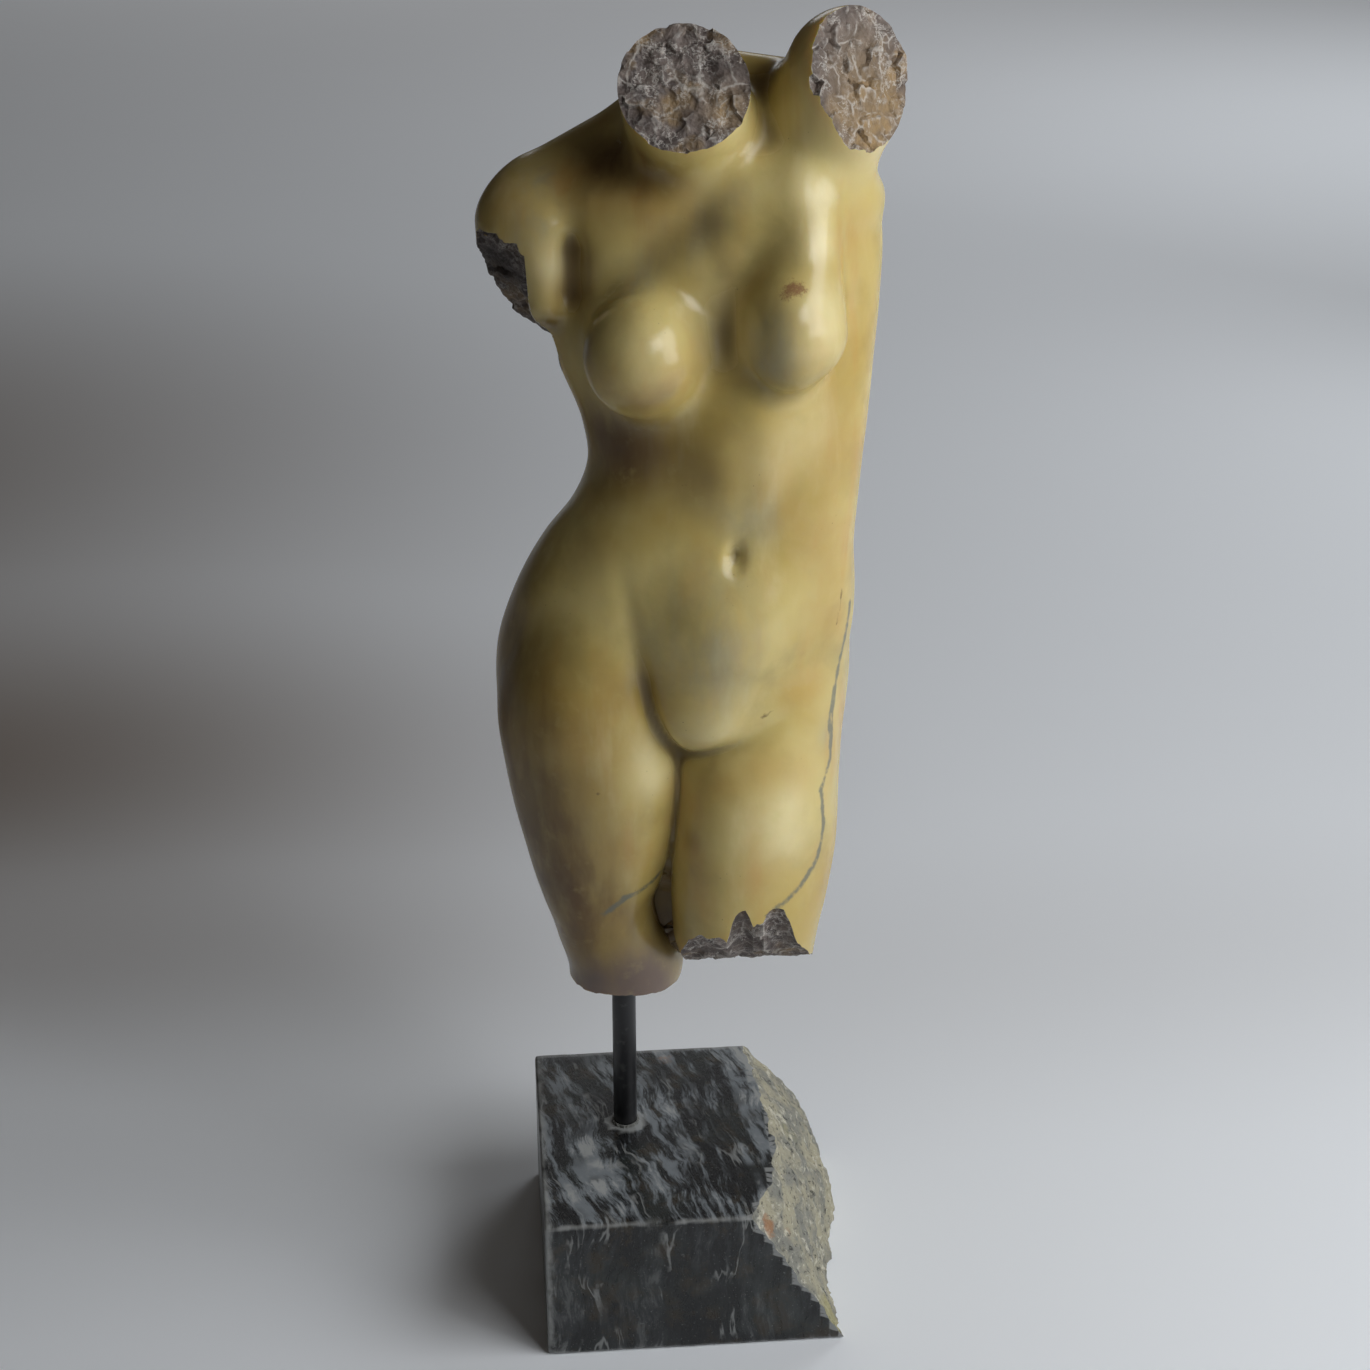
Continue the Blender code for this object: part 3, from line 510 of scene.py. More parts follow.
def points_of(thing):
    points = np.empty(len(thing.data.vertices) * 3)
    thing.data.vertices.foreach_get("co", points)
    return points.reshape(-1, 3)


def move_to(thing, points):
    thing.data.vertices.foreach_set("co", points.astype(np.float32).ravel())
    thing.data.update()


def paint(thing, name, values):
    """Keep one number for each point of the mesh, for the material to read."""
    layer = thing.data.attributes.new(name, "FLOAT", "POINT")
    layer.data.foreach_set("value", np.asarray(values, dtype=np.float32))


def voxel_skin(thing, voxel):
    """One closed skin around everything in the object."""
    remesh = thing.modifiers.new("Remesh", "REMESH")
    remesh.mode = "VOXEL"
    remesh.voxel_size = voxel
    apply_modifiers(thing)


TETRAHEDRON = np.array([(1, 1, 1), (1, -1, -1), (-1, 1, -1), (-1, -1, 1)], dtype=float)
PROBE = 0.0004
LONGEST_MOVE = 0.004
GENTLEST_SLOPE = 0.25


def newton_step(points):
    """The move that takes each point onto the skin of the form."""
    seen = [body(points + PROBE * corner) for corner in TETRAHEDRON]
    slope = sum(value[:, None] * corner for value, corner in zip(seen, TETRAHEDRON)) / (4 * PROBE)
    steep = np.maximum((slope**2).sum(axis=1), GENTLEST_SLOPE)
    move = (sum(seen) / len(seen) / steep)[:, None] * slope
    length = np.linalg.norm(move, axis=1)
    return move * np.minimum(1.0, LONGEST_MOVE / np.maximum(length, 1e-9))[:, None]


def on_skin(points, rounds=4):
    """The points, drawn onto the skin of the form."""
    for _ in range(rounds):
        points = points - newton_step(points)
    return points


class Neighbours:
    """Evens out numbers kept on the points of a mesh."""

    def __init__(self, thing):
        edges = np.empty(len(thing.data.edges) * 2, dtype=np.int64)
        thing.data.edges.foreach_get("vertices", edges)
        edges = edges.reshape(-1, 2)
        self.ends = np.concatenate([edges[:, 0], edges[:, 1]])
        self.others = np.concatenate([edges[:, 1], edges[:, 0]])
        self.count = len(thing.data.vertices)
        self.links = np.maximum(np.bincount(self.ends, minlength=self.count), 1)

    def even(self, values):
        """Each point moved half way to the middle of its neighbours."""
        columns = values.reshape(self.count, -1)
        means = [
            np.bincount(self.ends, weights=column[self.others], minlength=self.count) / self.links
            for column in columns.T
        ]
        return 0.5 * (values + np.stack(means, axis=1).reshape(values.shape))


def settle(thing, rounds):
    """Even out the points, then draw each one onto the blended form, over and over."""
    neighbours, points = Neighbours(thing), points_of(thing)
    for _ in range(rounds):
        points = neighbours.even(points)
        points -= newton_step(points)
    points -= newton_step(points)
    move_to(thing, points)


def hollows(thing, rounds):
    """How far each point lies below (or above, if negative) the stone around it, in metres."""
    neighbours, points = Neighbours(thing), points_of(thing)
    normals = np.empty(len(points) * 3)
    thing.data.vertices.foreach_get("normal", normals)
    smooth = points
    for _ in range(rounds):
        smooth = neighbours.even(smooth)
    return ((smooth - points) * normals.reshape(-1, 3)).sum(axis=1)


# ---------------------------------------------------------------- broken stone
FACET_SHUFFLE = 7.31  # spreads the facets' tilts, which are drawn from their middles
FACET_TILT, FACET_STEP = 1.5, 0.9  # how much each facet leans, and how far it stands from the next
FACET_RIDGES = ((1.9, 0.55), (4.3, 0.28))  # how many times finer each ridge is, and its height


def fracture(place, size):
    """The height of broken stone: tilted facets about as wide as the size, with ridges and pits."""
    spot = place / size
    middle = noise.voronoi(spot)[1][0]
    tilt = noise.cell_vector(middle * FACET_SHUFFLE) - Vector((0.5, 0.5, 0.5))
    height = FACET_TILT * tilt.dot(spot - middle) + FACET_STEP * tilt.z
    for fineness, share in FACET_RIDGES:
        height += share * noise.noise(spot * fineness)
    return height


def rough_cutter(name, centre, facing, size, reach, step, relief, grain, climb=None):
    """A block that takes away everything in front of a rough, broken plane.

    The plane goes through the centre and faces the way the stone is taken from. Size is its width
    and height, and climb can sink parts of it into the stone.
    """
    turn = Vector(facing).to_track_quat("Z", "Y").to_matrix().to_4x4()
    place = Matrix.Translation(centre) @ turn
    bpy.ops.object.select_all(action="DESELECT")
    bpy.ops.mesh.primitive_grid_add(
        x_subdivisions=round(size[0] / step), y_subdivisions=round(size[1] / step), size=1.0
    )
    block = bpy.context.object
    block.name = name
    block.scale = (size[0], size[1], 1.0)
    bpy.ops.object.transform_apply(scale=True)
    for vertex in block.data.vertices:
        spot = place @ vertex.co
        vertex.co.z = relief * fracture(spot, grain)
        if climb:
            vertex.co.z -= climb(spot)
    bpy.ops.object.mode_set(mode="EDIT")
    bpy.ops.mesh.select_all(action="SELECT")
    bpy.ops.mesh.extrude_region_move(TRANSFORM_OT_translate={"value": (0.0, 0.0, reach)})
    bpy.ops.mesh.select_all(action="SELECT")
    bpy.ops.mesh.quads_convert_to_tris()
    bpy.ops.mesh.normals_make_consistent(inside=False)
    bpy.ops.object.mode_set(mode="OBJECT")
    block.data.transform(place)
    return block


def cut(thing, cutters, material):
    """Cut the thing with the cutters; what they lay bare takes the material."""
    for cutter in cutters:
        cutter.data.materials.append(material)
        boolean = thing.modifiers.new(cutter.name, "BOOLEAN")
        boolean.operation = "DIFFERENCE"
        boolean.solver = "MANIFOLD"
        boolean.material_mode = "TRANSFER"
        boolean.object = cutter
    apply_modifiers(thing)
    for cutter in cutters:
        bpy.data.objects.remove(cutter)


KNEE_BREAK_HEIGHT = 0.092
THIGH_BREAK_HEIGHT = 0.107
THIGH_CLIMB_START = -0.007
THIGH_CLIMB_RUN = 0.042
THIGH_CLIMB = 0.036
THIGH_CLIMB_CURVE = 1.6
FLAKE_STEEPNESS = 3
FLAKE_SQUARENESS = 4
# Each flake off the left thigh's front: its middle and half width across, and how far it climbs.
THIGH_FLAKES = ((0.0590, 0.0056, 0.0110), (0.0785, 0.0080, 0.0085), (0.0690, 0.0130, 0.0060))


def left_thigh_flakes(spot):
    """How far the left thigh's break climbs at a place: gently to the front, sharply at its flakes."""
    front = min(max((THIGH_CLIMB_START - spot.y) / THIGH_CLIMB_RUN, 0.0), 1.0)
    climb = THIGH_CLIMB * front**THIGH_CLIMB_CURVE
    for middle, half_width, height in THIGH_FLAKES:
        across = (spot.x - middle) / half_width
        climb += height * front**FLAKE_STEEPNESS * max(1.0 - across**FLAKE_SQUARENESS, 0.0)
    return climb


KNEE_RIM = (0.018, 0.027, 0.0020)  # where the knee's break starts to climb, its rim, and by how much


def knee_rim(spot):
    """How far the knee's break climbs towards its rim."""
    start, rim, height = KNEE_RIM
    out = (math.hypot(spot.x, spot.y) - start) / (rim - start)
    return height * min(max(out, 0.0), 1.0) ** 2


# Each break: name, centre, the way it faces, its width and height, how much it takes away, the
# spacing of its points, its relief and the size of its facets, and how far it climbs.
BREAKS = (
    ("neck", (0.0300, -0.0300, 0.5370), (0.0, -0.840, 0.545), (0.084, 0.084),
     0.070, 0.0014, 0.0015, 0.0080),
    ("raised arm", (0.1044, -0.0200, 0.5399), (0.65, -0.71, 0.29), (0.090, 0.090),
     0.080, 0.0014, 0.0022, 0.0100),
    ("right arm", (-0.0464, 0.0105, 0.4422), (-0.65, -0.53, -0.54), (0.054, 0.068),
     0.060, 0.0014, 0.0020, 0.0090),
    ("right knee", (0.0, 0.0, KNEE_BREAK_HEIGHT), (0.0, 0.0, -1.0), (0.090, 0.090),
     0.055, 0.0016, 0.0012, 0.0070, knee_rim),
    ("left thigh", (0.0797, -0.0100, THIGH_BREAK_HEIGHT), (0.05, 0.0, -1.0), (0.104, 0.100),
     0.110, 0.0016, 0.0020, 0.0080, left_thigh_flakes),
)


# ---------------------------------------------------------------- material helpers
class Wire:
    """A socket that Python arithmetic can be written with."""

    def __init__(self, finish, socket):
        self.finish, self.socket = finish, socket

    def math(self, operation, *values):
        return self.finish.node("ShaderNodeMath", {"operation": operation}, dict(enumerate(values)))

    def __add__(self, other):
        return self.math("ADD", self, other)

    def __sub__(self, other):
        return self.math("SUBTRACT", self, other)

    def __rsub__(self, other):
        return self.math("SUBTRACT", other, self)

    def __mul__(self, other):
        return self.math("MULTIPLY", self, other)

    __radd__ = __add__
    __rmul__ = __mul__

    def size(self):
        return self.math("ABSOLUTE", self)

    def between(self, low, high):
        """0 below low, 1 above high, and a smooth rise between."""
        return self.finish.node(
            "ShaderNodeMapRange", {"interpolation_type": "SMOOTHSTEP"}, {0: self, 1: low, 2: high}
        )


class Finish:
    """A material, and the nodes that make it."""

    def __init__(self, name, **constants):
        self.material = bpy.data.materials.new(name)
        self.material.use_nodes = True
        self.nodes = self.material.node_tree.nodes
        self.links = self.material.node_tree.links
        self.shader = self.nodes["Principled BSDF"]
        self.shader_takes({label.replace("_", " "): value for label, value in constants.items()})

    def plug(self, value, socket):
        if isinstance(value, Wire):
            self.links.new(value.socket, socket)
        elif socket.type == "RGBA":
            socket.default_value = (*value, 1.0)[:4]
        else:
            socket.default_value = value

    def node(self, kind, settings=None, inputs=None, output=0):
        """A node: its settings first, then the values or links of its sockets."""
        made = self.nodes.new(kind)
        for label, value in (settings or {}).items():
            setattr(made, label, value)
        for label, value in (inputs or {}).items():
            self.plug(value, made.inputs[label])
        return Wire(self, made.outputs[output])

    def shader_takes(self, sockets):
        for label, value in sockets.items():
            self.plug(value, self.shader.inputs[label])

    def place(self, centre=(0.0, 0.0, 0.0), turn=(0.0, 0.0, 0.0), scale=(1.0, 1.0, 1.0)):
        """The piece's own coordinates, seen from a pattern with that centre, turn and stretch."""
        here = self.node("ShaderNodeTexCoord", output="Object")
        return self.node(
            "ShaderNodeMapping", {"vector_type": "TEXTURE"},
            {"Vector": here, "Location": centre, "Rotation": turn, "Scale": scale},
        )

    def stretched(self, where, factors):
        return self.node("ShaderNodeVectorMath", {"operation": "MULTIPLY"}, {0: where, 1: factors})

    def value_of(self, name):
        return self.node("ShaderNodeAttribute", {"attribute_name": name}, output="Fac")

    def clouds(self, where, scale, detail=4.0, roughness=0.55):
        """Soft noise from 0 to 1, with that many clouds to the metre."""
        return self.node(
            "ShaderNodeTexNoise", None,
            {"Vector": where, "Scale": scale, "Detail": detail, "Roughness": roughness},
        )

    def cells(self, where, scale, feature="F1", output="Distance"):
        return self.node(
            "ShaderNodeTexVoronoi", {"feature": feature}, {"Vector": where, "Scale": scale}, output=output
        )

    def grey_of(self, colour):
        return self.node("ShaderNodeRGBToBW", None, {0: colour})

    def swirled(self, where, scale, amount):
        """The same place, pushed about by soft noise."""
        push = self.node(
            "ShaderNodeTexNoise", None, {"Vector": where, "Scale": scale, "Detail": 3.0}, output="Color"
        )
        centred = self.node(
            "ShaderNodeVectorMath", {"operation": "SUBTRACT"}, {0: push, 1: (0.5, 0.5, 0.5)}
        )
        return self.node(
            "ShaderNodeVectorMath", {"operation": "MULTIPLY_ADD"},
            {0: centred, 1: (amount,) * 3, 2: where},
        )

    def layered(self, colour, *layers):
        """Colours laid one over another: how much of each shows, and the colour itself."""
        for share, above in layers:
            colour = self.node(
                "ShaderNodeMix", {"data_type": "RGBA"}, {0: share, 6: colour, 7: above}, output=2
            )
        return colour

    def bump(self, height, distance, strength=1.0, normal=None):
        sockets = {"Height": height, "Distance": distance, "Strength": strength}
        if normal:
            sockets["Normal"] = normal
        return self.node("ShaderNodeBump", None, sockets)


# In the finishes below, clouds and cells take how many there are to the metre, then how fine and how
# rough they are. A bump takes its depth in metres, then its strength.
def marble_finish(settings):
    """Honey marble: cream and olive clouds, ochre streaks, slate veins, old grime, and painted shade and
    highlights.
    """
    finish = Finish(
        "polished marble", IOR=1.5, Subsurface_Weight=0.25, Subsurface_Radius=(0.010, 0.0055, 0.0022),
        Subsurface_Scale=1.0,
    )
    clouds, mark = finish.clouds, finish.value_of
    here = finish.place(TO_PLACE.translation, (0.0, 0.0, TORSO_TURN))
    drift = finish.swirled(here, 9.0, 0.040)
    grained = finish.swirled(finish.stretched(here, (1.0, 1.0, 0.28)), 22.0, 0.018)
    fine = clouds(drift, 130.0, 5.0)
    streaks = clouds(grained, 55.0, 4.0).between(0.50, 0.72)
    mauve = mark("mauve") + (clouds(grained, 40.0, 5.0) - 0.5) * 0.8
    vein_gap = mark("vein_gap") + (clouds(here, 160.0, 4.0) - 0.5) * 0.0045
    vein = 1.0 - vein_gap.size().between(0.0004, 0.0024)
    crack_gap = mark("crack_gap") + (clouds(here, 260.0, 4.0) - 0.5) * 0.0022
    crack = 1.0 - crack_gap.size().between(0.0001, 0.0010)
    rust = mark("rust") + (clouds(here, 520.0, 6.0, 0.8) - 0.5) * 1.9
    specks = 1.0 - finish.cells(here, 260.0).between(0.05, 0.11)
    # darker in the creases and hollows: old grime, and painted shade where shade falls
    grime_and_shade = mark("hollow").between(0.0014, 0.0042)
    chipped = (-1.0 * mark("edge") + (fine - 0.5) * 0.0006).between(0.0005, 0.0010)
    colour = finish.layered(
        settings.honey,
        (clouds(drift, 11.0).between(0.36, 0.66), settings.cream),
        (clouds(drift, 24.0, 5.0).between(0.46, 0.72) * 0.60, settings.olive),
        (clouds(grained, 30.0, 5.0, 0.6).between(0.54, 0.76) * 0.45, settings.pale),
        ((streaks * 0.55 + 0.45) * mark("ochre"), settings.ochre),
        (streaks * 0.28, settings.ochre),
        (mark("grey") * (clouds(grained, 60.0, 5.0).between(0.34, 0.64) * 0.7 + 0.15), settings.ash),
        # paler spots: mostly painted highlights and painted light
        (mark("pale") * (clouds(drift, 45.0, 3.0).between(0.25, 0.60) * 0.4 + 0.6), settings.pale),
        (mauve.between(0.15, 0.95), settings.mauve),
        # brown patina, partly painted shade on the sides away from the light
        (mark("patina_and_shade") * (clouds(grained, 60.0).between(0.25, 0.62) * 0.35 + 0.65), settings.patina_and_shade),
        # painted shade: the shadows under the ribs, between the thighs and over the right arm's break
        (mark("shade") * (clouds(grained, 70.0).between(0.30, 0.60) * 0.5 + 0.5), settings.umber_and_shade),
        (vein * 0.80, settings.vein),
        (crack * 0.65, settings.umber_and_shade),
        (rust.between(0.32, 0.90) * 0.75, settings.rust),
        ((fine - 0.5).between(0.06, 0.30) * 0.18, settings.cream),
        (specks * clouds(here, 45.0).between(0.55, 0.70) * 0.5, settings.umber_and_shade),
        (grime_and_shade * 0.7, settings.umber_and_shade),
        (chipped * 0.7, settings.chip),
    )
    swell = finish.bump(clouds(here, 55.0, 2.0), 0.0009, 0.35)
    finish.shader_takes({
        "Base Color": colour,
        "Roughness": 0.19 + clouds(drift, 70.0, 4.0) * 0.10 + grime_and_shade * 0.25 + chipped * 0.3,
        "Normal": finish.bump(clouds(here, 420.0, 4.0), 0.00010, 0.5, swell),
    })
    return finish.material


def broken_marble_finish(settings):
    """Coarse crystals laid bare: grey-brown, with white ridges, tan patches, and painted shade in the pits
    and in shadow.
    """
    finish = Finish(
        "broken marble", IOR=1.5, Subsurface_Weight=0.1, Subsurface_Radius=(0.006, 0.004, 0.003)
    )
    clouds, cells, mark = finish.clouds, finish.cells, finish.value_of
    here = finish.place(TO_PLACE.translation, (0.0, 0.0, TORSO_TURN))
    drift = finish.swirled(here, 60.0, 0.008)
    ridges = (mark("edge") * -1.0 + (clouds(here, 300.0, 5.0) - 0.5) * 0.0010).between(0.0001, 0.0007)
    threads = 1.0 - cells(finish.swirled(here, 240.0, 0.003), 170.0, "DISTANCE_TO_EDGE").between(0.0, 0.07)
    facets = finish.swirled(here, 90.0, 0.009)
    tone = finish.grey_of(cells(facets, 62.0, "F1", "Color"))
    seams = 1.0 - cells(facets, 62.0, "DISTANCE_TO_EDGE").between(0.0, 0.05)
    crinkle = clouds(finish.swirled(here, 150.0, 0.006), 190.0, 6.0, 0.65) - 0.5
    wisps = (1.0 - crinkle.size().between(0.003, 0.030)) * clouds(here, 75.0, 3.0).between(0.42, 0.58)
    colour = finish.layered(
        settings.dark_core,
        (clouds(drift, 140.0, 5.0).between(0.35, 0.65), settings.core),
        (clouds(drift, 45.0, 3.0).between(0.52, 0.66) * 0.7, settings.tan_core),
        (mark("ochre") * clouds(drift, 120.0).between(0.45, 0.62), settings.ochre),
        (mark("pale") * 0.85, settings.tan_core),
        (ridges * 0.55, settings.chip),
        (threads * clouds(drift, 90.0).between(0.45, 0.65) * 0.3, settings.chip),
        (tone * 0.45, settings.dark_core),
        (seams * clouds(drift, 130.0).between(0.42, 0.60) * 0.55, settings.chip),
        (wisps * 0.65, settings.chip),
        # darker in the pits: painted shade
        (mark("edge").between(0.0002, 0.0012) * 0.5, settings.dark_core),
        # painted shadow over the right arm's break and between the thighs
        (mark("shade"), settings.broken_shadow),
    )
    crystals = finish.bump(cells(here, 420.0), 0.0006, 0.8)
    finish.shader_takes({
        "Base Color": colour,
        "Roughness": 0.50 + clouds(here, 200.0) * 0.25,
        "Normal": finish.bump(clouds(drift, 260.0, 6.0, 0.65), 0.0016, 0.9, crystals),
    })
    return finish.material


STREAK_TURN = math.radians(13)  # from the block's depth, about the upright


def block_finish(settings):
    """Dark stone, sawn and polished, with pale streaks that run down and forwards through it, and a painted
    sheen along the top's right rim.
    """
    finish = Finish("polished dark stone", IOR=1.48)
    clouds, mark = finish.clouds, finish.value_of
    here = finish.place(turn=(0.0, 0.0, STREAK_TURN))
    bent = finish.swirled(here, 16.0, 0.018)
    streaked = finish.stretched(finish.swirled(bent, 60.0, 0.005), (1.0, 0.17, 0.20))
    depth = finish.node("ShaderNodeSeparateXYZ", None, {0: finish.place()}, output="Y")
    behind_front = (depth - PLINTH_BOX[0].y).between(0.0003, 0.0015)
    # chalk spots, and a painted sheen along the top's right rim
    chalk_and_sheen = mark("chalk_and_sheen")
    pale = clouds(streaked, 100.0, 8.0, 0.76) + chalk_and_sheen * 0.10 + 0.014
    smoky = pale.between(0.49, 0.575) * (clouds(bent, 22.0, 3.0) + chalk_and_sheen * 0.2).between(0.36, 0.54)
    bright = pale.between(0.56, 0.64) * (clouds(bent, 48.0, 4.0) + chalk_and_sheen * 0.15).between(0.47, 0.62)
    rust = mark("rust") + (clouds(bent, 240.0, 5.0, 0.7) - 0.5) * 1.2
    thread = 1.0 - (clouds(streaked, 46.0, 4.0) - 0.5).size().between(0.002, 0.016)
    worn = (mark("edge") * -1.0 + (pale - 0.5) * 0.0004).between(0.00003, 0.00024)
    colour = finish.layered(
        settings.stone,
        (clouds(bent, 34.0, 5.0).between(0.40, 0.66), settings.green),
        (clouds(bent, 70.0, 5.0, 0.65).between(0.50, 0.66) * 0.8, settings.brown),
        (smoky * (behind_front * 0.88 + 0.08), settings.streak),
        (bright * (behind_front * 0.80 + 0.12), settings.bright),
        (rust.between(0.35, 0.85) * 0.6, settings.rust),
        (thread * clouds(here, 40.0).between(0.48, 0.6) * 0.5, settings.bright),
        (clouds(here, 900.0, 3.0, 0.7).between(0.62, 0.72) * 0.35, settings.bright),
        (worn * 0.7, settings.bright),
    )
    finish.shader_takes({
        "Base Color": colour,
        "Roughness": 0.20 + pale * 0.16 + worn * 0.2,
        "Normal": finish.bump(clouds(here, 300.0, 4.0), 0.00015, 0.4),
    })
    return finish.material


def broken_block_finish(settings):
    """The block's broken end: a pale, weathered crust with grains, rust and lichen tints."""
    finish = Finish("broken dark stone", IOR=1.45)
    clouds, mark = finish.clouds, finish.value_of
    here = finish.place()
    drift = finish.swirled(here, 50.0, 0.010)
    rust = mark("rust") + (clouds(drift, 240.0, 5.0, 0.7) - 0.5) * 1.2
    lichen = mark("lichen") + (clouds(drift, 150.0, 5.0) - 0.5) * 1.0
    colour = finish.layered(
        settings.crust,
        (clouds(drift, 60.0, 5.0).between(0.38, 0.64), settings.grey_crust),
        (clouds(drift, 170.0, 6.0, 0.7).between(0.52, 0.66) * 0.8, settings.pale_crust),
        (clouds(here, 260.0, 6.0, 0.75).between(0.54, 0.64) * 0.8, settings.stone),
        (rust.between(0.35, 0.75) * 0.8, settings.rust),
        (lichen.between(0.35, 0.80) * 0.45, settings.lichen),
        # darker in the pits: painted shade
        (mark("edge").between(0.0001, 0.0009) * 0.6, settings.stone),
    )
    grains = finish.bump(finish.cells(here, 520.0), 0.0007, 0.8)
    finish.shader_takes({
        "Base Color": colour,
        "Roughness": 0.72 + clouds(here, 90.0) * 0.2,
        "Normal": finish.bump(clouds(drift, 190.0, 7.0, 0.68), 0.0030, 0.9, grains),
    })
    return finish.material


def steel_finish(settings):
    """Black satin paint over a drawn steel rod."""
    finish = Finish("black steel", IOR=1.5, Coat_Weight=0.15, Coat_Roughness=0.25)
    drawn = finish.clouds(finish.place(scale=(1.0, 1.0, 30.0)), 700.0, 3.0)
    dust = finish.clouds(finish.place(), 160.0, 5.0).between(0.56, 0.75)
    finish.shader_takes({
        "Base Color": finish.layered(settings.steel, (dust * 0.25, settings.dust)),
        "Roughness": 0.30 + drawn * 0.12 + dust * 0.15,
        "Normal": finish.bump(drawn, 0.00005, 0.4),
    })
    return finish.material


def sealant_finish(settings):
    """Clear sealant, clouded with dust."""
    finish = Finish(
        "clouded sealant", IOR=1.45, Subsurface_Weight=0.2, Subsurface_Radius=(0.002, 0.002, 0.002)
    )
    murk = finish.clouds(finish.place(), 500.0, 4.0).between(0.35, 0.7)
    finish.shader_takes({
        "Base Color": finish.layered(settings.sealant, (murk, settings.dust)),
        "Roughness": 0.30 + murk * 0.3,
        "Normal": finish.bump(murk, 0.0002, 0.5),
    })
    return finish.material


# ---------------------------------------------------------------- marks in the stone, and painted shade and highlights
def stain(points, spots):
    """How strongly the points lie in any of the soft round spots: centre, radius and strength."""
    clear = np.ones(len(points))
    for centre, radius, strength in spots:
        away = ((points - np.array(centre)) ** 2).sum(axis=1) / radius**2
        clear *= 1.0 - strength * np.exp(-away)
    return 1.0 - clear


def gap_to(points, paths):
    """How far the points lie from the nearest of the paths, each drawn onto the skin."""
    nearest = np.full(len(points), 1.0)
    for path in paths:
        corners = on_skin(np.array(path))
        for start, end in zip(corners, corners[1:]):
            axis = end - start
            along = np.clip((points - start) @ axis / (axis @ axis), 0.0, 1.0)
            gap = np.linalg.norm(points - start - along[:, None] * axis, axis=1)
            nearest = np.minimum(nearest, gap)
    return nearest


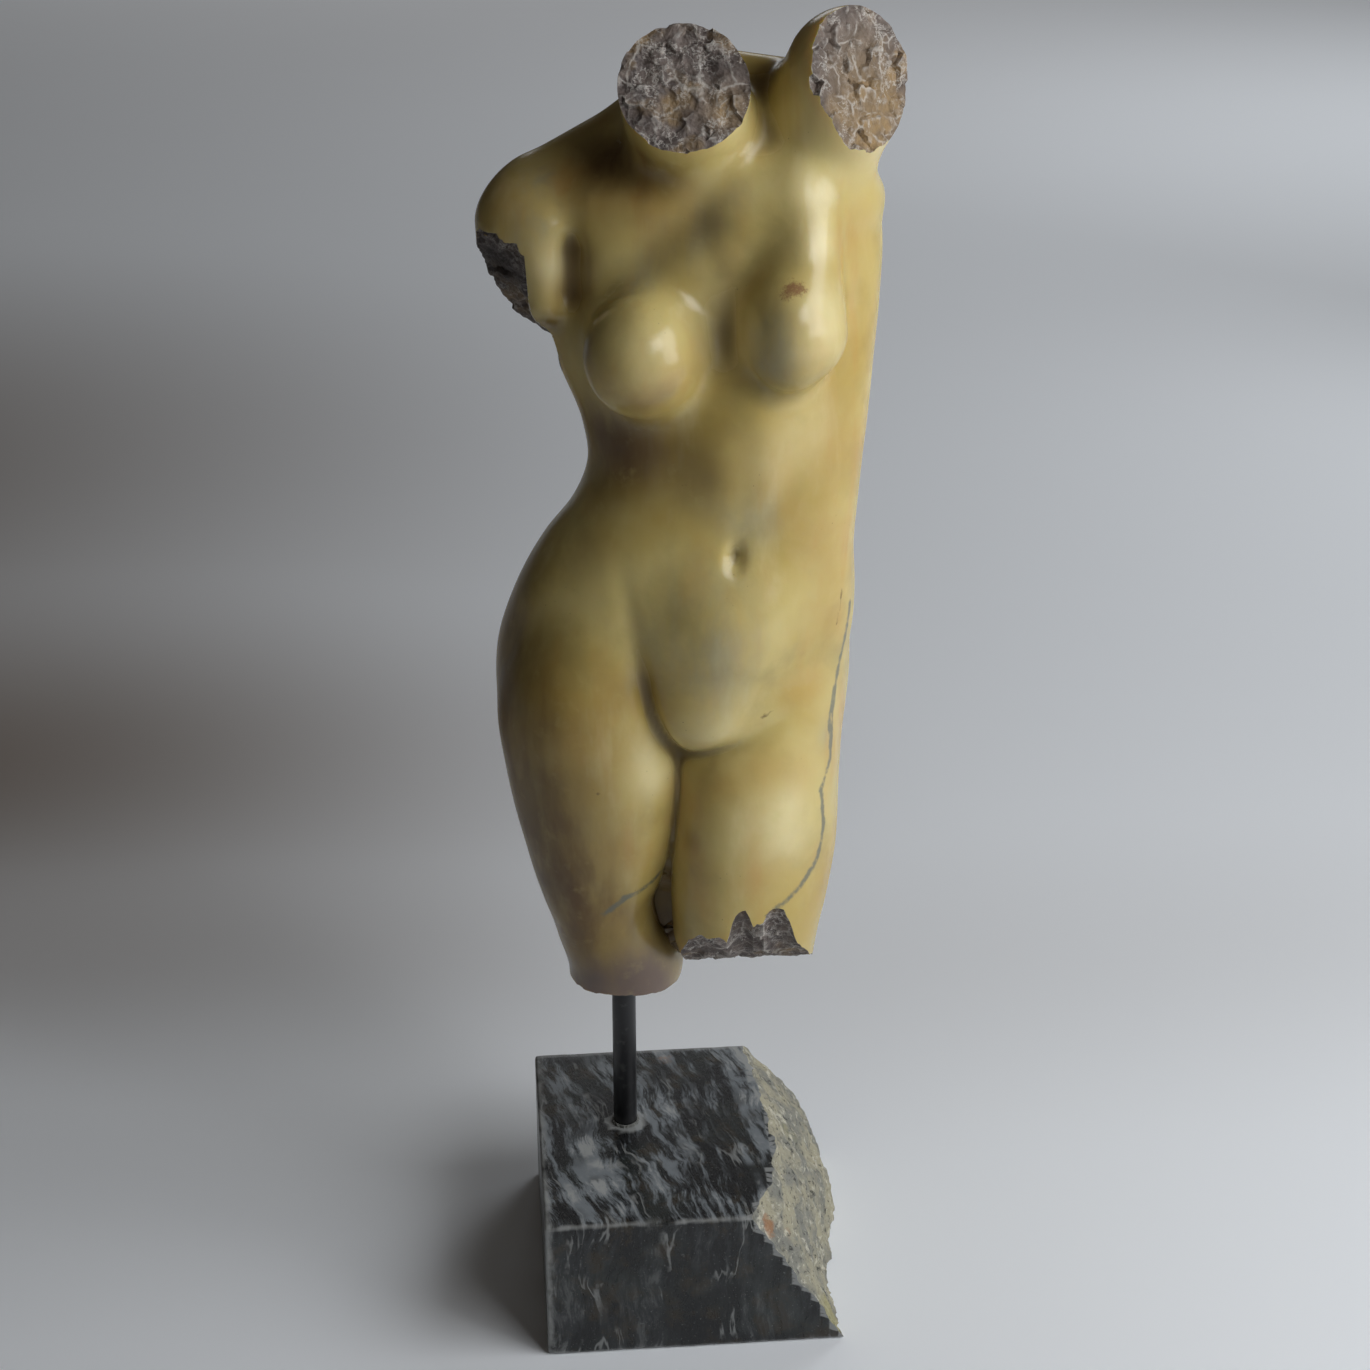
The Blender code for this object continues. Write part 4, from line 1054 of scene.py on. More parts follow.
MARBLE_STAINS = {
    "ochre": (
        # the orange flank on the left, from the armpit to the thigh
        ((0.106, -0.018, 0.470), 0.020, 0.8), ((0.108, -0.016, 0.430), 0.022, 0.7),
        ((0.096, -0.029, 0.378), 0.012, 0.6), ((0.106, -0.012, 0.380), 0.022, 0.7),
        ((0.091, -0.032, 0.340), 0.012, 0.6), ((0.104, -0.020, 0.325), 0.020, 0.7),
        ((0.101, -0.024, 0.295), 0.014, 0.8), ((0.092, -0.031, 0.265), 0.010, 0.9),
        ((0.080, -0.037, 0.262), 0.009, 0.6), ((0.108, -0.010, 0.230), 0.020, 0.7),
        ((0.102, -0.018, 0.160), 0.020, 0.6),
        # the top and the inner edge of the left thigh, and the fork
        ((0.066, -0.049, 0.228), 0.011, 0.8), ((0.050, -0.050, 0.221), 0.009, 0.7),
        ((0.084, -0.042, 0.222), 0.012, 0.8), ((0.034, -0.042, 0.208), 0.008, 0.8),
        ((0.032, -0.045, 0.185), 0.009, 0.8), ((0.034, -0.048, 0.165), 0.009, 0.6),
        ((0.064, -0.055, 0.178), 0.012, 0.6), ((0.027, -0.034, 0.214), 0.007, 0.9),
        ((0.024, -0.036, 0.195), 0.006, 0.7),
        # chest and shoulder
        ((0.018, -0.028, 0.487), 0.015, 0.9), ((-0.004, -0.019, 0.487), 0.012, 0.9),
        ((0.034, -0.030, 0.489), 0.010, 0.6), ((-0.018, -0.014, 0.487), 0.008, 0.8),
        ((-0.026, -0.018, 0.460), 0.008, 0.8), ((-0.024, -0.016, 0.448), 0.008, 0.7),
        ((-0.044, -0.011, 0.484), 0.014, 0.7), ((-0.023, -0.005, 0.496), 0.012, 0.6),
        # under the right breast, and the left one
        ((0.025, -0.060, 0.421), 0.010, 0.85), ((0.014, -0.064, 0.411), 0.010, 0.75),
        ((-0.004, -0.058, 0.420), 0.010, 0.7), ((0.083, -0.060, 0.430), 0.006, 0.5),
        # right thigh
        ((0.000, -0.046, 0.185), 0.014, 0.5), ((0.014, -0.043, 0.176), 0.010, 0.4),
        # the raised arm
        ((0.118, -0.030, 0.520), 0.018, 1.0), ((0.122, -0.010, 0.545), 0.012, 0.7),
        # back
        ((0.060, 0.070, 0.270), 0.030, 0.5), ((0.010, 0.060, 0.460), 0.028, 0.4),
    ),
    # mostly painted light: paler where the window's light falls; and tan patches on two breaks
    "pale": (
        # painted highlights down the chest muscle below the raised arm, and on the left breast
        ((0.085, -0.034, 0.496), 0.010, 0.7), ((0.088, -0.041, 0.474), 0.010, 0.8),
        ((0.092, -0.051, 0.452), 0.010, 0.8), ((0.091, -0.056, 0.440), 0.009, 0.7),
        ((0.078, -0.062, 0.436), 0.010, 0.3),
        # painted light on the right breast and on the front of the right arm's stump
        ((0.013, -0.066, 0.432), 0.014, 0.35), ((-0.027, -0.018, 0.457), 0.010, 0.9),
        # painted light on the left thigh and the mound
        ((0.076, -0.049, 0.208), 0.013, 0.7), ((0.078, -0.049, 0.190), 0.014, 0.6),
        ((0.062, -0.053, 0.205), 0.012, 0.4), ((0.034, -0.047, 0.241), 0.009, 0.4),
        ((0.048, -0.049, 0.246), 0.010, 0.4),
        # painted light on the right thigh, near the fork
        ((0.017, -0.042, 0.221), 0.010, 0.6), ((0.012, -0.045, 0.234), 0.012, 0.4),
        # painted light below the left breast
        ((0.072, -0.045, 0.384), 0.016, 0.4), ((0.088, -0.035, 0.392), 0.014, 0.4),
        # the raised arm's break
        ((0.106, -0.021, 0.536), 0.020, 0.9), ((0.116, -0.026, 0.520), 0.016, 0.9),
        # painted light between the breasts, where the left breast's shadow falls
        ((0.048, -0.038, 0.436), 0.017, 0.6),
        # the neck's break, at its lower left
        ((0.048, -0.034, 0.528), 0.010, 0.8),
    ),
    "grey": (
        ((-0.032, -0.006, 0.494), 0.008, 0.8), ((-0.034, -0.016, 0.479), 0.010, 0.7),
        ((-0.025, -0.017, 0.476), 0.008, 0.6), ((-0.040, -0.014, 0.470), 0.007, 0.5),
        ((0.054, -0.035, 0.491), 0.010, 0.35), ((0.044, -0.035, 0.483), 0.010, 0.40),
        ((0.036, -0.032, 0.476), 0.010, 0.45), ((0.028, -0.032, 0.468), 0.010, 0.55),
        ((0.020, -0.031, 0.460), 0.010, 0.55), ((0.011, -0.034, 0.453), 0.010, 0.45),
        ((0.068, -0.062, 0.438), 0.014, 0.7), ((0.062, -0.056, 0.424), 0.012, 0.6),
        ((0.038, -0.052, 0.315), 0.022, 0.4), ((0.045, -0.054, 0.290), 0.026, 0.45),
        ((0.040, -0.052, 0.266), 0.022, 0.40), ((0.058, -0.043, 0.348), 0.014, 0.35),
        ((0.069, -0.041, 0.354), 0.012, 0.35), ((0.013, -0.030, 0.130), 0.014, 0.6),
        ((0.100, -0.025, 0.235), 0.008, 0.5), ((0.030, 0.050, 0.420), 0.040, 0.35),
        ((-0.020, 0.060, 0.270), 0.030, 0.35),
    ),
    "mauve": (
        ((0.012, -0.024, 0.100), 0.026, 0.9), ((-0.010, -0.028, 0.098), 0.024, 0.8),
        ((-0.030, 0.000, 0.104), 0.030, 0.7), ((0.020, 0.020, 0.100), 0.030, 0.9),
        ((0.112, 0.030, 0.250), 0.030, 0.5),
    ),
    # patina and painted shade: brown on the right hip and thigh, the ribs, armpit and neck, where the skin
    # turns from the window or lies in shadow; and on the back
    "patina_and_shade": (
        # the right hip and thigh
        ((-0.030, -0.042, 0.250), 0.020, 0.35), ((-0.022, -0.046, 0.215), 0.022, 0.45),
        ((-0.012, -0.045, 0.185), 0.020, 0.40), ((-0.050, -0.012, 0.290), 0.022, 0.60),
        ((-0.052, -0.022, 0.256), 0.026, 0.65), ((-0.050, -0.028, 0.222), 0.026, 0.65),
        ((-0.045, -0.027, 0.186), 0.026, 0.75), ((-0.036, -0.029, 0.154), 0.024, 0.75),
        ((-0.026, -0.031, 0.130), 0.020, 0.60), ((-0.034, -0.038, 0.270), 0.015, 0.50),
        ((-0.034, -0.042, 0.248), 0.014, 0.50), ((-0.032, -0.045, 0.225), 0.014, 0.50),
        ((-0.026, -0.045, 0.200), 0.013, 0.45), ((-0.019, -0.045, 0.168), 0.014, 0.50),
        ((-0.008, -0.042, 0.150), 0.012, 0.45), ((-0.045, 0.020, 0.230), 0.040, 0.35),
        # the waist and the ribs below the right breast
        ((-0.005, -0.024, 0.381), 0.020, 0.75), ((0.007, -0.032, 0.377), 0.020, 0.70),
        ((0.018, -0.036, 0.382), 0.012, 0.45), ((-0.008, -0.022, 0.358), 0.014, 0.45),
        ((-0.013, -0.030, 0.330), 0.014, 0.35), ((0.033, -0.041, 0.360), 0.014, 0.30),
        ((0.038, -0.044, 0.376), 0.012, 0.30),
        # the armpit, the neck and the shoulder
        ((-0.014, -0.018, 0.445), 0.011, 0.75), ((-0.009, -0.045, 0.430), 0.009, 0.50),
        ((-0.013, -0.018, 0.461), 0.009, 0.60), ((-0.001, -0.012, 0.500), 0.013, 0.80),
        ((0.012, -0.024, 0.496), 0.010, 0.50), ((-0.012, 0.000, 0.504), 0.012, 0.55),
        ((0.024, -0.030, 0.500), 0.009, 0.40), ((0.064, 0.000, 0.532), 0.012, 0.60),
        # the belly's left half and the inner side of the left thigh
        ((0.012, -0.043, 0.268), 0.010, 0.40), ((0.034, -0.046, 0.190), 0.007, 0.35),
        # below the right arm's break
        ((-0.027, -0.014, 0.433), 0.007, 0.90),
        # under the right breast, and low on the right thigh
        ((0.022, -0.062, 0.413), 0.011, 0.40), ((0.010, -0.062, 0.406), 0.010, 0.40),
        ((-0.028, -0.043, 0.178), 0.020, 0.65), ((-0.021, -0.041, 0.156), 0.020, 0.75),
        ((-0.012, -0.038, 0.137), 0.018, 0.65), ((0.002, -0.040, 0.140), 0.012, 0.40),
        ((-0.034, -0.043, 0.200), 0.014, 0.35),
        # round the neck
        ((0.012, -0.030, 0.506), 0.008, 0.60), ((0.000, -0.014, 0.508), 0.008, 0.70),
        ((0.000, -0.014, 0.500), 0.010, 0.60),
        # a faint band from the neck down towards the right breast
        ((0.036, -0.032, 0.480), 0.008, 0.25), ((0.027, -0.032, 0.472), 0.008, 0.30),
        ((0.018, -0.031, 0.464), 0.008, 0.30),
        # back
        ((0.030, 0.055, 0.300), 0.024, 0.40),
    ),
    # painted shade, in the brown of grime: under the right breast, between the thighs and over the right
    # arm's break; and the right hip's dark streaks
    "shade": (
        # the ribs in the shadow of the right breast
        ((-0.005, -0.024, 0.381), 0.014, 0.40), ((0.008, -0.032, 0.376), 0.013, 0.35),
        # the dark streaks down the right hip
        ((-0.052, -0.010, 0.262), 0.006, 0.45), ((-0.050, -0.012, 0.290), 0.005, 0.45),
        ((-0.040, -0.030, 0.160), 0.008, 0.45),
        # painted shade over the right arm's break
        ((-0.052, 0.005, 0.452), 0.022, 0.95), ((-0.036, -0.004, 0.430), 0.010, 0.60),
        # painted shadow between the thighs
        ((0.022, 0.004, 0.126), 0.014, 0.95), ((0.021, -0.012, 0.125), 0.010, 0.90),
        ((0.023, 0.002, 0.146), 0.014, 0.95), ((0.025, -0.026, 0.162), 0.006, 0.60),
        ((0.024, 0.016, 0.120), 0.014, 0.90), ((0.025, 0.028, 0.114), 0.018, 0.95),
        ((0.026, 0.030, 0.135), 0.018, 0.90),
    ),
    "rust": (
        ((0.0752, -0.0555, 0.4590), 0.0046, 0.9), ((0.0795, -0.0552, 0.4580), 0.0034, 0.8),
        ((0.0728, -0.0570, 0.4550), 0.0030, 0.7),
    ),
}
# The veins' and cracks' routes are set near the skin, and the form itself draws them onto it.
VEINS = (
    # down the left hip and thigh, to the break, with a loop beside it
    ((0.107, -0.012, 0.297), (0.106, -0.012, 0.278), (0.102, -0.013, 0.258), (0.099, -0.020, 0.240),
     (0.100, -0.020, 0.221), (0.095, -0.030, 0.209), (0.097, -0.029, 0.190), (0.094, -0.035, 0.175),
     (0.086, -0.044, 0.165), (0.070, -0.053, 0.154)),
    ((0.102, -0.013, 0.258), (0.101, -0.017, 0.240), (0.100, -0.020, 0.221)),
    # across the knee
    ((-0.008, -0.041, 0.148), (0.002, -0.041, 0.156), (0.013, -0.035, 0.160), (0.018, -0.029, 0.164)),
    # on the right buttock
    ((-0.006, 0.068, 0.250), (-0.008, 0.062, 0.232)),
)
CRACKS = (
    # on the right thigh, in the left groin and on the left hip
    ((-0.012, -0.050, 0.219), (-0.008, -0.050, 0.216)),
    ((0.071, -0.041, 0.255), (0.065, -0.043, 0.252)),
    ((0.103, -0.020, 0.307), (0.101, -0.021, 0.290)),
)


# ---------------------------------------------------------------- the pieces
def post(name, radius, bottom, top, sides):
    """A round upright bar on the rod's axis, between two heights."""
    bpy.ops.object.select_all(action="DESELECT")
    bpy.ops.mesh.primitive_cylinder_add(
        vertices=sides, radius=radius, depth=top - bottom, location=(*ROD_PLACE, 0.5 * (bottom + top))
    )
    bpy.ops.object.transform_apply(location=True)
    bpy.context.object.name = name
    return bpy.context.object


RIDGES, RIDGE_FINENESS = 0.6, 2.3
CRUMBS, CRUMB_FINENESS = 0.35, 4.7


def crumple(place, size):
    """Rough stone: ridges and pits of about the given size, between -1 and 1."""
    ridges = abs(noise.noise(place * RIDGE_FINENESS / size)) - 0.5
    crumbs = noise.noise(place * CRUMB_FINENESS / size)
    return noise.noise(place / size) + RIDGES * ridges + CRUMBS * crumbs


# The block's broken end: how far right its foot and its head stand, from the front to the back.
BREAK_DEPTHS = np.array([0.0, 0.3, 0.45, 0.65, 1.0])
BREAK_FOOT = np.array([0.0715, 0.0690, 0.0720, 0.0800, 0.0770])
BREAK_HEAD = np.array([0.0250, 0.0400, 0.0420, 0.0400, 0.0360])
BREAK_BELLY = 0.010
BREAK_RELIEF, BREAK_GRAIN = 0.0026, 0.020
BREAK_CRUMBS, BREAK_CRUMB_GRAIN = 0.0011, 0.009
BREAK_CELLS = (96, 56)
BREAK_REACH = 0.12
# How far the cutter runs past the block, as shares of the block's depth and height.
BREAK_OVERRUN_ACROSS = 0.04
BREAK_OVERRUN_UP = 0.08
BLOCK_STAINS = {
    "rust": (
        ((0.031, -0.069, 0.066), 0.007, 1.0), ((0.040, -0.058, 0.052), 0.008, 0.6),
        ((-0.008, 0.066, 0.077), 0.006, 0.7),
    ),
    "lichen": (
        ((0.066, -0.070, 0.012), 0.014, 1.0), ((0.052, 0.020, 0.060), 0.022, 0.5),
    ),
    "chalk_and_sheen": (
        # the pale streak in front of the rod, and the clouded stone on its right
        ((-0.050, -0.010, 0.077), 0.007, 0.9), ((-0.047, -0.026, 0.077), 0.007, 1.0),
        ((-0.043, -0.045, 0.077), 0.007, 1.0), ((-0.039, -0.064, 0.077), 0.007, 0.9),
        ((-0.013, 0.018, 0.077), 0.014, 0.7), ((0.004, 0.030, 0.077), 0.012, 0.5),
        # along the broken end, a painted sheen on the top's right rim; and on the left
        ((0.046, 0.055, 0.077), 0.014, 0.9), ((0.044, 0.020, 0.077), 0.012, 0.8),
        ((0.036, -0.015, 0.077), 0.011, 0.7), ((-0.068, -0.045, 0.077), 0.012, 0.8),
        ((-0.064, 0.048, 0.077), 0.007, 0.8),
        # the front
        ((-0.070, -0.076, 0.042), 0.013, 0.9), ((-0.064, -0.076, 0.022), 0.011, 0.8),
        ((-0.025, -0.076, 0.060), 0.004, 0.8), ((-0.024, -0.076, 0.045), 0.004, 0.9),
        ((-0.025, -0.076, 0.030), 0.004, 0.7), ((-0.004, -0.076, 0.050), 0.003, 0.7),
        ((-0.003, -0.076, 0.035), 0.003, 0.7),
    ),
}


def block_break():
    """A cutter for the block's broken end, wider at its foot than at its top."""
    front, depth = PLINTH_BOX[0].y, PLINTH_BOX[1].y - PLINTH_BOX[0].y
    bpy.ops.object.select_all(action="DESELECT")
    bpy.ops.mesh.primitive_grid_add(
        x_subdivisions=BREAK_CELLS[0], y_subdivisions=BREAK_CELLS[1], size=1.0
    )
    cutter = bpy.context.object
    cutter.name = "broken end"
    for vertex in cutter.data.vertices:
        along = (1.0 + 2 * BREAK_OVERRUN_ACROSS) * vertex.co.x + 0.5
        share = (1.0 + 2 * BREAK_OVERRUN_UP) * vertex.co.y + 0.5
        y, z = front + depth * along, BLOCK_TOP * share
        foot = float(flow(front + depth * BREAK_DEPTHS, BREAK_FOOT, np.array(y)))
        head = float(flow(front + depth * BREAK_DEPTHS, BREAK_HEAD, np.array(y)))
        swell = min(max(along, 0.0), 1.0) * math.sin(math.pi * min(max(share, 0.0), 1.0))
        spot = Vector((foot + (head - foot) * share + BREAK_BELLY * swell, y, z))
        relief = BREAK_RELIEF * crumple(spot, BREAK_GRAIN)
        spot.x += relief + BREAK_CRUMBS * fracture(spot, BREAK_CRUMB_GRAIN)
        vertex.co = spot
    bpy.ops.object.mode_set(mode="EDIT")
    bpy.ops.mesh.select_all(action="SELECT")
    bpy.ops.mesh.extrude_region_move(TRANSFORM_OT_translate={"value": (BREAK_REACH, 0.0, 0.0)})
    bpy.ops.mesh.select_all(action="SELECT")
    bpy.ops.mesh.quads_convert_to_tris()
    bpy.ops.mesh.normals_make_consistent(inside=False)
    bpy.ops.object.mode_set(mode="OBJECT")
    return cutter


BLOCK_CUTS = 36
CHIP_WIDTHS = ((0.009, 1.0), (0.003, 0.4))  # how wide the chips are, and their share of the depth
CHIP_DEPTH = 0.0007
CHIPPED_FROM, CHIPPED_OVER = 0.00002, 0.0002  # how far an edge stands out before it is chipped
OUTER_SHARE = 0.9  # how far out from its middle the block's edges lie, as a share of half its size


def edge_chips(block):
    """Small chips bitten out of the block's edges, deepest where they are sharpest."""
    sharp = np.maximum(-hollows(block, 2) - CHIPPED_FROM, 0.0)
    points = points_of(block)
    middle = points.mean(axis=0)
    outer = OUTER_SHARE * np.ptp(points, axis=0) / 2
    for k in np.flatnonzero(sharp > 0.0):
        spot = Vector(points[k])
        bite = sum(share * max(noise.noise(spot / width), 0.0) for width, share in CHIP_WIDTHS)
        inwards = np.sign(middle - points[k]) * (np.abs(points[k] - middle) > outer)
        points[k] += inwards * CHIP_DEPTH * bite * min(1.0, sharp[k] / CHIPPED_OVER)
    move_to(block, points)


def sawn_block(settings, finish, broken):
    """The block's mesh: four sawn sides and a top with worn edges, and a broken right end."""
    low, high = PLINTH_BOX
    right = high.x + CUTTER_SPARE
    bpy.ops.object.select_all(action="DESELECT")
    bpy.ops.mesh.primitive_cube_add(
        size=1.0, location=(0.5 * (low.x + right), 0.5 * (low.y + high.y), 0.5 * (low.z + high.z))
    )
    block = bpy.context.object
    block.scale = (right - low.x, high.y - low.y, high.z - low.z)
    bpy.ops.object.transform_apply(location=True, rotation=True, scale=True)
    bpy.ops.object.mode_set(mode="EDIT")
    bpy.ops.mesh.select_all(action="SELECT")
    bpy.ops.mesh.subdivide(number_cuts=BLOCK_CUTS)
    bpy.ops.object.mode_set(mode="OBJECT")
    worn = block.modifiers.new("Worn edges", "BEVEL")
    worn.width, worn.segments, worn.limit_method = settings.edge, 3, "ANGLE"
    apply_modifiers(block)
    edge_chips(block)
    block.data.materials.append(finish)
    cut(block, [block_break()], broken)
    bottom, top = ROD_BOX[0].z - CLEARANCE, BLOCK_TOP + CUTTER_SPARE
    cut(block, [post("socket", ROD_RADIUS + CLEARANCE, bottom, top, ROD_SIDES)], broken)
    points = points_of(block)
    for name, spots in BLOCK_STAINS.items():
        paint(block, name, stain(points, spots))
    paint(block, "edge", hollows(block, EDGE_ROUNDS))
    return block


RING_GAP = 0.0002  # between the rod and the sealant round it
RING_MIDDLE, RING_DEPTH = 0.0006, 0.0009  # above the block's top, and how deep before it is shaped
RING_LIP, RING_CREST = 0.0006, 0.0004  # how wide and high its upper lip is, and how uneven
RING_RIPPLES = ((420.0, 0.10), (1300.0, 0.08))
CREST_RIPPLE = 500.0


def sealant_ring(spread, finish):
    """A thin, uneven ring that fills the corner between the rod and the top of the block."""
    inner, outer = ROD_RADIUS + RING_GAP, ROD_RADIUS + spread
    middle = BLOCK_TOP + RING_MIDDLE
    ring = post("ring", outer, middle - 0.5 * RING_DEPTH, middle + 0.5 * RING_DEPTH, ROD_SIDES)
    bpy.ops.object.mode_set(mode="EDIT")
    bpy.ops.mesh.select_all(action="SELECT")
    bpy.ops.mesh.normals_make_consistent(inside=False)
    bpy.ops.object.mode_set(mode="OBJECT")
    for vertex in ring.data.vertices:
        away = Vector((vertex.co.x - ROD_PLACE[0], vertex.co.y - ROD_PLACE[1], 0.0))
        ripple = 1.0 + sum(share * noise.noise(away * size) for size, share in RING_RIPPLES)
        if vertex.co.z > middle:
            ripple *= (inner + RING_LIP) / outer
            vertex.co.z += RING_LIP + RING_CREST * noise.noise(away * CREST_RIPPLE)
        vertex.co.x = ROD_PLACE[0] + away.x * ripple
        vertex.co.y = ROD_PLACE[1] + away.y * ripple
    ring.data.materials.append(finish)
    cut(ring, [post("bore", inner, BLOCK_TOP - CUTTER_SPARE, BLOCK_TOP + CUTTER_SPARE, ROD_SIDES)], finish)
    return ring


BLOCK_VOXEL, BLOCK_ROUNDS = 0.0050, 6
SKIN_ROUNDS = 3
HOLLOW_ROUNDS, EDGE_ROUNDS = 90, 3  # how far round each point its hollows and its edges are sought
SOCKET_SIDES = 48


def carved_stone(grain, finish, broken):
    """The torso's mesh with both its finishes, and the marks in its stone, with its painted shade and
    highlights, kept on its points.
    """
    stone = joined([block for mass, _ in MASSES for block in mass.block()])
    voxel_skin(stone, BLOCK_VOXEL)
    settle(stone, BLOCK_ROUNDS)
    voxel_skin(stone, grain)
    settle(stone, SKIN_ROUNDS)
    stone.data.materials.append(finish)
    cut(stone, [rough_cutter(*each) for each in BREAKS], broken)
    points = points_of(stone)
    for name, spots in MARBLE_STAINS.items():
        paint(stone, name, stain(points, spots))
    paint(stone, "vein_gap", gap_to(points, VEINS))
    paint(stone, "crack_gap", gap_to(points, CRACKS))
    paint(stone, "hollow", hollows(stone, HOLLOW_ROUNDS))
    paint(stone, "edge", hollows(stone, EDGE_ROUNDS))
    stone.data.transform(TO_PLACE)
    bottom, top = TORSO_BOX[0].z - CUTTER_SPARE, ROD_BOX[1].z + CLEARANCE
    cut(stone, [post("socket", ROD_RADIUS + CLEARANCE, bottom, top, SOCKET_SIDES)], broken)
    return stone


SHARP_EDGE = math.radians(38)


def placed(piece, name, slot, *replaced):
    """Name the finished piece and let it ride in place of the plain solid."""
    piece.name = name
    pick([piece])
    bpy.ops.object.shade_smooth_by_angle(angle=SHARP_EDGE)
    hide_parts(*replaced)
    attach(piece, "root")


class TORSO_OT_carve_marble(bpy.types.Operator):
    """Carve the torso, break it at its neck, arms and legs, and give it its marble"""

    bl_idname = "torso.carve_marble"
    bl_label = "Carve the marble"

    def execute(self, context):
        settings = context.scene.torso_marble
        stone = carved_stone(settings.grain, marble_finish(settings), broken_marble_finish(settings))
        placed(stone, "carved_torso", "marble", "torso")
        return {"FINISHED"}


class TORSO_OT_cut_block(bpy.types.Operator):
    """Saw the stone block, break its right end off and polish the rest"""

    bl_idname = "torso.cut_block"
    bl_label = "Cut the block"

    def execute(self, context):
        settings = context.scene.torso_block
        block = sawn_block(settings, block_finish(settings), broken_block_finish(settings))
        placed(block, "stone_block", "dark_stone", "plinth")
        return {"FINISHED"}


class TORSO_OT_finish_rod(bpy.types.Operator):
    """Turn the steel rod and lay the ring of sealant round its foot"""

    bl_idname = "torso.finish_rod"
    bl_label = "Finish the rod"

    def execute(self, context):
        settings = context.scene.torso_rod
        rod = post("rod", ROD_RADIUS, ROD_BOX[0].z, ROD_BOX[1].z, ROD_SIDES)
        rims = rod.modifiers.new("Rims", "BEVEL")
        rims.width, rims.segments, rims.limit_method = settings.rim, 2, "ANGLE"
        apply_modifiers(rod)
        rod.data.materials.append(steel_finish(settings))
        placed(rod, "steel_rod", "black_steel", "mounting_rod")
        ring = sealant_ring(settings.bead, sealant_finish(settings))
        placed(ring, "sealant_ring", "black_steel")
        return {"FINISHED"}


# Each light: name, its share of the window's power, its place, what it faces, its size and tint.
LAMPS = (
    ("window", 0.90, (1.15, -0.52, 0.92), (0.0, 0.0, 0.38), (0.9, 1.3), (0.95, 0.97, 1.0)),
    ("high window", 0.33, (0.75, -1.05, 1.25), (0.0, 0.0, 0.35), (0.6, 0.6), (0.97, 0.98, 1.0)),
    ("behind right", 0.20, (1.2, 1.2, 0.8), (0.0, 0.0, 0.30), (0.8, 0.8), (0.93, 0.96, 1.0)),
    ("backdrop right", 0.95, (1.6, 2.6, 1.6), (0.9, 2.6, 0.0), (1.2, 1.2), (0.93, 0.96, 1.0)),
    ("backdrop far", 1.45, (0.0, 5.5, 2.2), (0.0, 5.0, 0.0), (2.0, 2.0), (0.95, 0.97, 1.0)),
)


# Painted shadows on the floor, where it falls into dusk: each pool's centre, its reach each way, and how dark
# it gets.
FLOOR_PAINTED_SHADOWS = (
    ((-0.50, 0.58, 0.0), (0.76, 0.42, 1.0), 0.78),
    ((-0.86, 1.25, 0.0), (1.10, 1.00, 1.0), 0.80),
    ((-0.35, 0.30, 0.0), (0.50, 0.16, 1.0), 0.25),
    ((0.25, 0.27, 0.0), (0.90, 0.22, 1.0), 0.12),
    ((0.20, 4.20, 0.0), (3.00, 2.20, 1.0), 0.22),
)


FLOOR_RADIUS = 14.0
FLOOR_DROP = 0.0005
CAMERA_LENS = 64.0
CAMERA_PLACE = (-0.09373, -1.03769, 0.816)
CAMERA_TURN = (math.radians(65.0), 0.0, math.radians(-5.0))


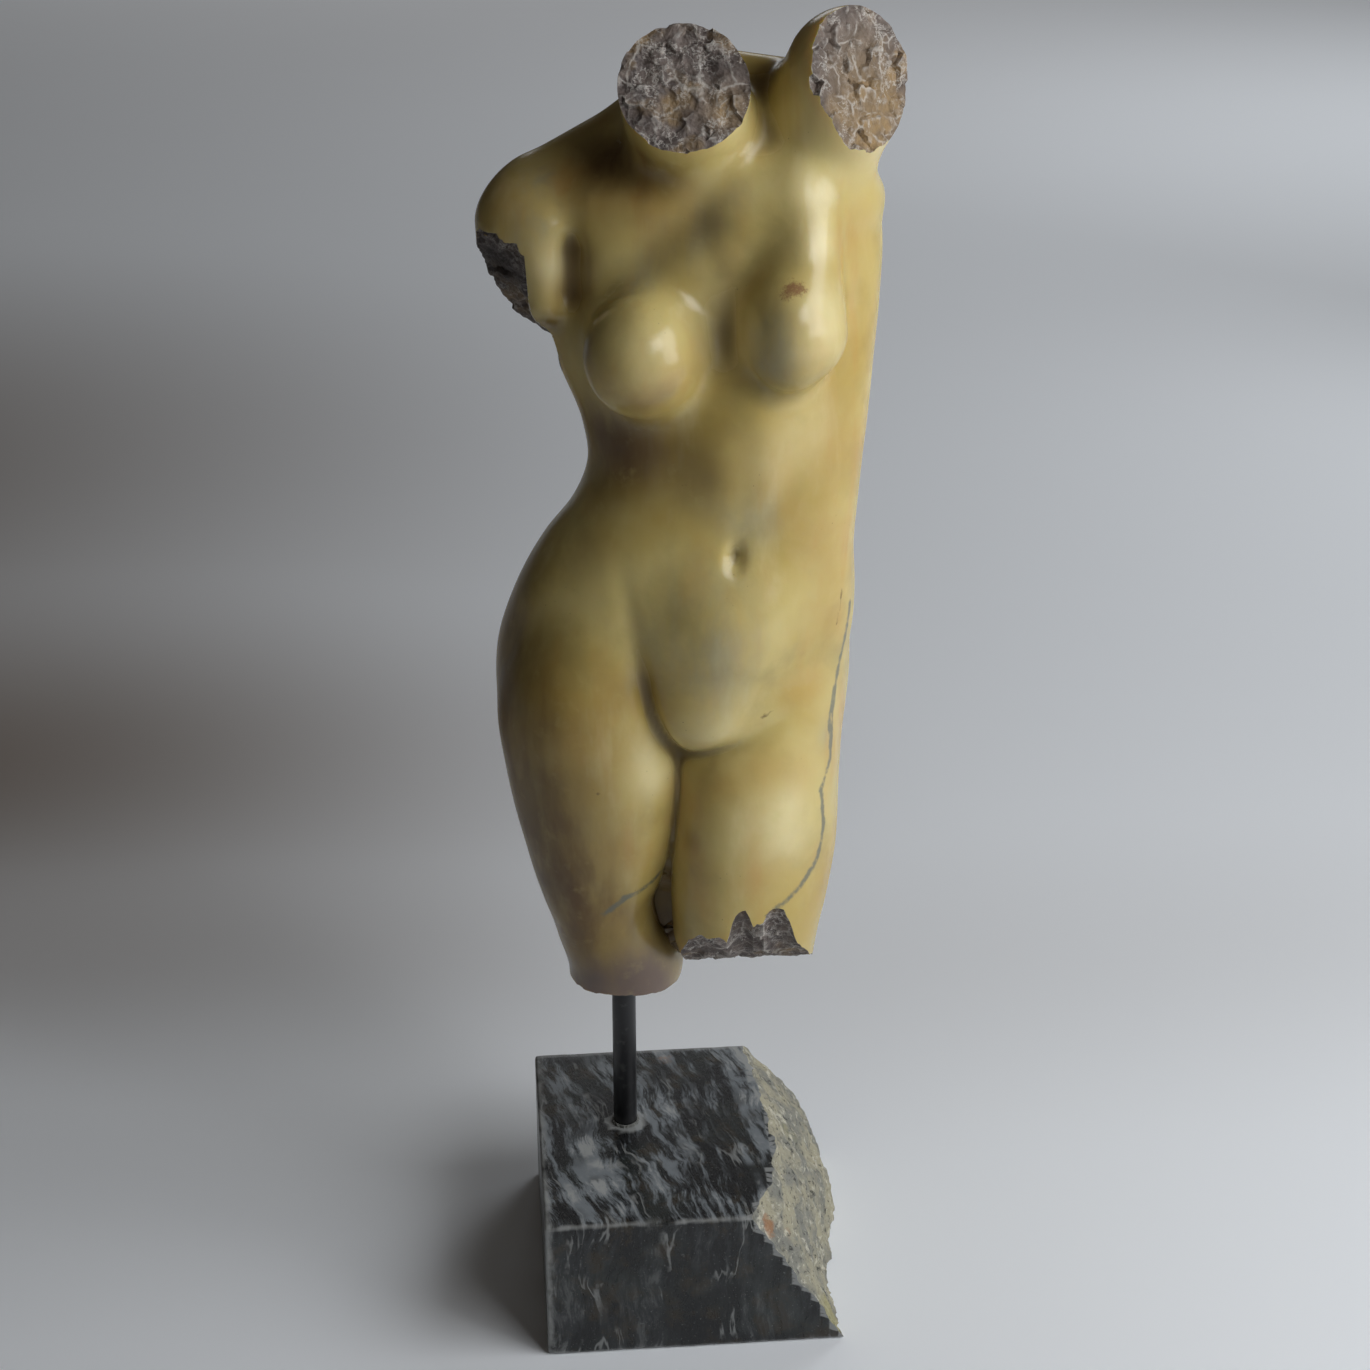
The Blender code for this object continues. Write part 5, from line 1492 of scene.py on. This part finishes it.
class TORSO_OT_set_stage(bpy.types.Operator):
    """Lay a pale floor with pools of painted shadow, light it softly from the right and set the camera"""

    bl_idname = "torso.set_stage"
    bl_label = "Set the stage"

    def execute(self, context):
        settings = context.scene.torso_stage
        bpy.ops.object.select_all(action="DESELECT")
        bpy.ops.mesh.primitive_circle_add(
            vertices=96, radius=FLOOR_RADIUS, fill_type="NGON", location=(0.0, 0.0, -FLOOR_DROP)
        )
        floor = bpy.context.object
        floor.name = "floor"
        bpy.ops.object.transform_apply(location=True)
        paper = Finish("pale paper", Roughness=0.9)
        # faint clouds in the paper, then the pools of painted shadow
        tone_and_painted_shadow = paper.clouds(paper.place(), 2.0) * 0.03
        for centre, reach, share in FLOOR_PAINTED_SHADOWS:
            place = paper.place(centre, (0.0, 0.0, 0.0), reach)
            away = paper.node("ShaderNodeVectorMath", {"operation": "LENGTH"}, {0: place}, output="Value")
            tone_and_painted_shadow = tone_and_painted_shadow + (1.0 - away.between(0.0, 1.0)) * share
        paper.shader_takes({"Base Color": paper.layered(settings.paper, (tone_and_painted_shadow, settings.floor_shadow))})
        floor.data.materials.append(paper.material)
        for name, share, place, aim, size, tint in LAMPS:
            lamp = bpy.data.lights.new(name, "AREA")
            lamp.shape, (lamp.size, lamp.size_y) = "RECTANGLE", size
            lamp.energy = share * settings.window
            lamp.color = tint
            holder = bpy.data.objects.new(name, lamp)
            holder.location = place
            holder.rotation_euler = (Vector(aim) - Vector(place)).to_track_quat("-Z", "Y").to_euler()
            context.collection.objects.link(holder)
        room = bpy.data.worlds.new("room")
        room.use_nodes = True
        glow = room.node_tree.nodes["Background"].inputs
        glow["Color"].default_value = (*settings.air, 1.0)
        glow["Strength"].default_value = settings.room
        context.scene.world = room
        view = bpy.data.cameras.new("camera")
        view.lens = CAMERA_LENS
        camera = bpy.data.objects.new("camera", view)
        camera.location = CAMERA_PLACE
        camera.rotation_euler = CAMERA_TURN
        context.collection.objects.link(camera)
        context.scene.camera = camera
        context.scene.view_settings.view_transform = "Standard"
        return {"FINISHED"}


class TORSO_PT_panel(bpy.types.Panel):
    """Lists what the torso is made of"""

    bl_label = "Marble torso"
    bl_idname = "TORSO_PT_panel"
    bl_space_type = "VIEW_3D"
    bl_region_type = "UI"
    bl_category = "Torso"

    def draw(self, context):
        for settings, step in STEPS:
            box = self.layout.box()
            for label in getattr(context.scene, settings).__annotations__:
                box.prop(getattr(context.scene, settings), label)
            box.operator(step)


STEPS = (
    ("torso_marble", "torso.carve_marble"),
    ("torso_block", "torso.cut_block"),
    ("torso_rod", "torso.finish_rod"),
    ("torso_stage", "torso.set_stage"),
)
SETTINGS = {
    "torso_marble": MarbleSettings,
    "torso_block": BlockSettings,
    "torso_rod": RodSettings,
    "torso_stage": StageSettings,
}
CLASSES = (
    *SETTINGS.values(),
    TORSO_OT_carve_marble,
    TORSO_OT_cut_block,
    TORSO_OT_finish_rod,
    TORSO_OT_set_stage,
    TORSO_PT_panel,
)


def register():
    for each in CLASSES:
        bpy.utils.register_class(each)
    for label, settings in SETTINGS.items():
        setattr(bpy.types.Scene, label, bpy.props.PointerProperty(type=settings))


def unregister():
    for label in SETTINGS:
        delattr(bpy.types.Scene, label)
    for each in reversed(CLASSES):
        bpy.utils.unregister_class(each)


def main():
    register()
    bpy.ops.torso.carve_marble()
    bpy.ops.torso.cut_block()
    bpy.ops.torso.finish_rod()
    bpy.ops.torso.set_stage()


if __name__ == "__main__":
    main()
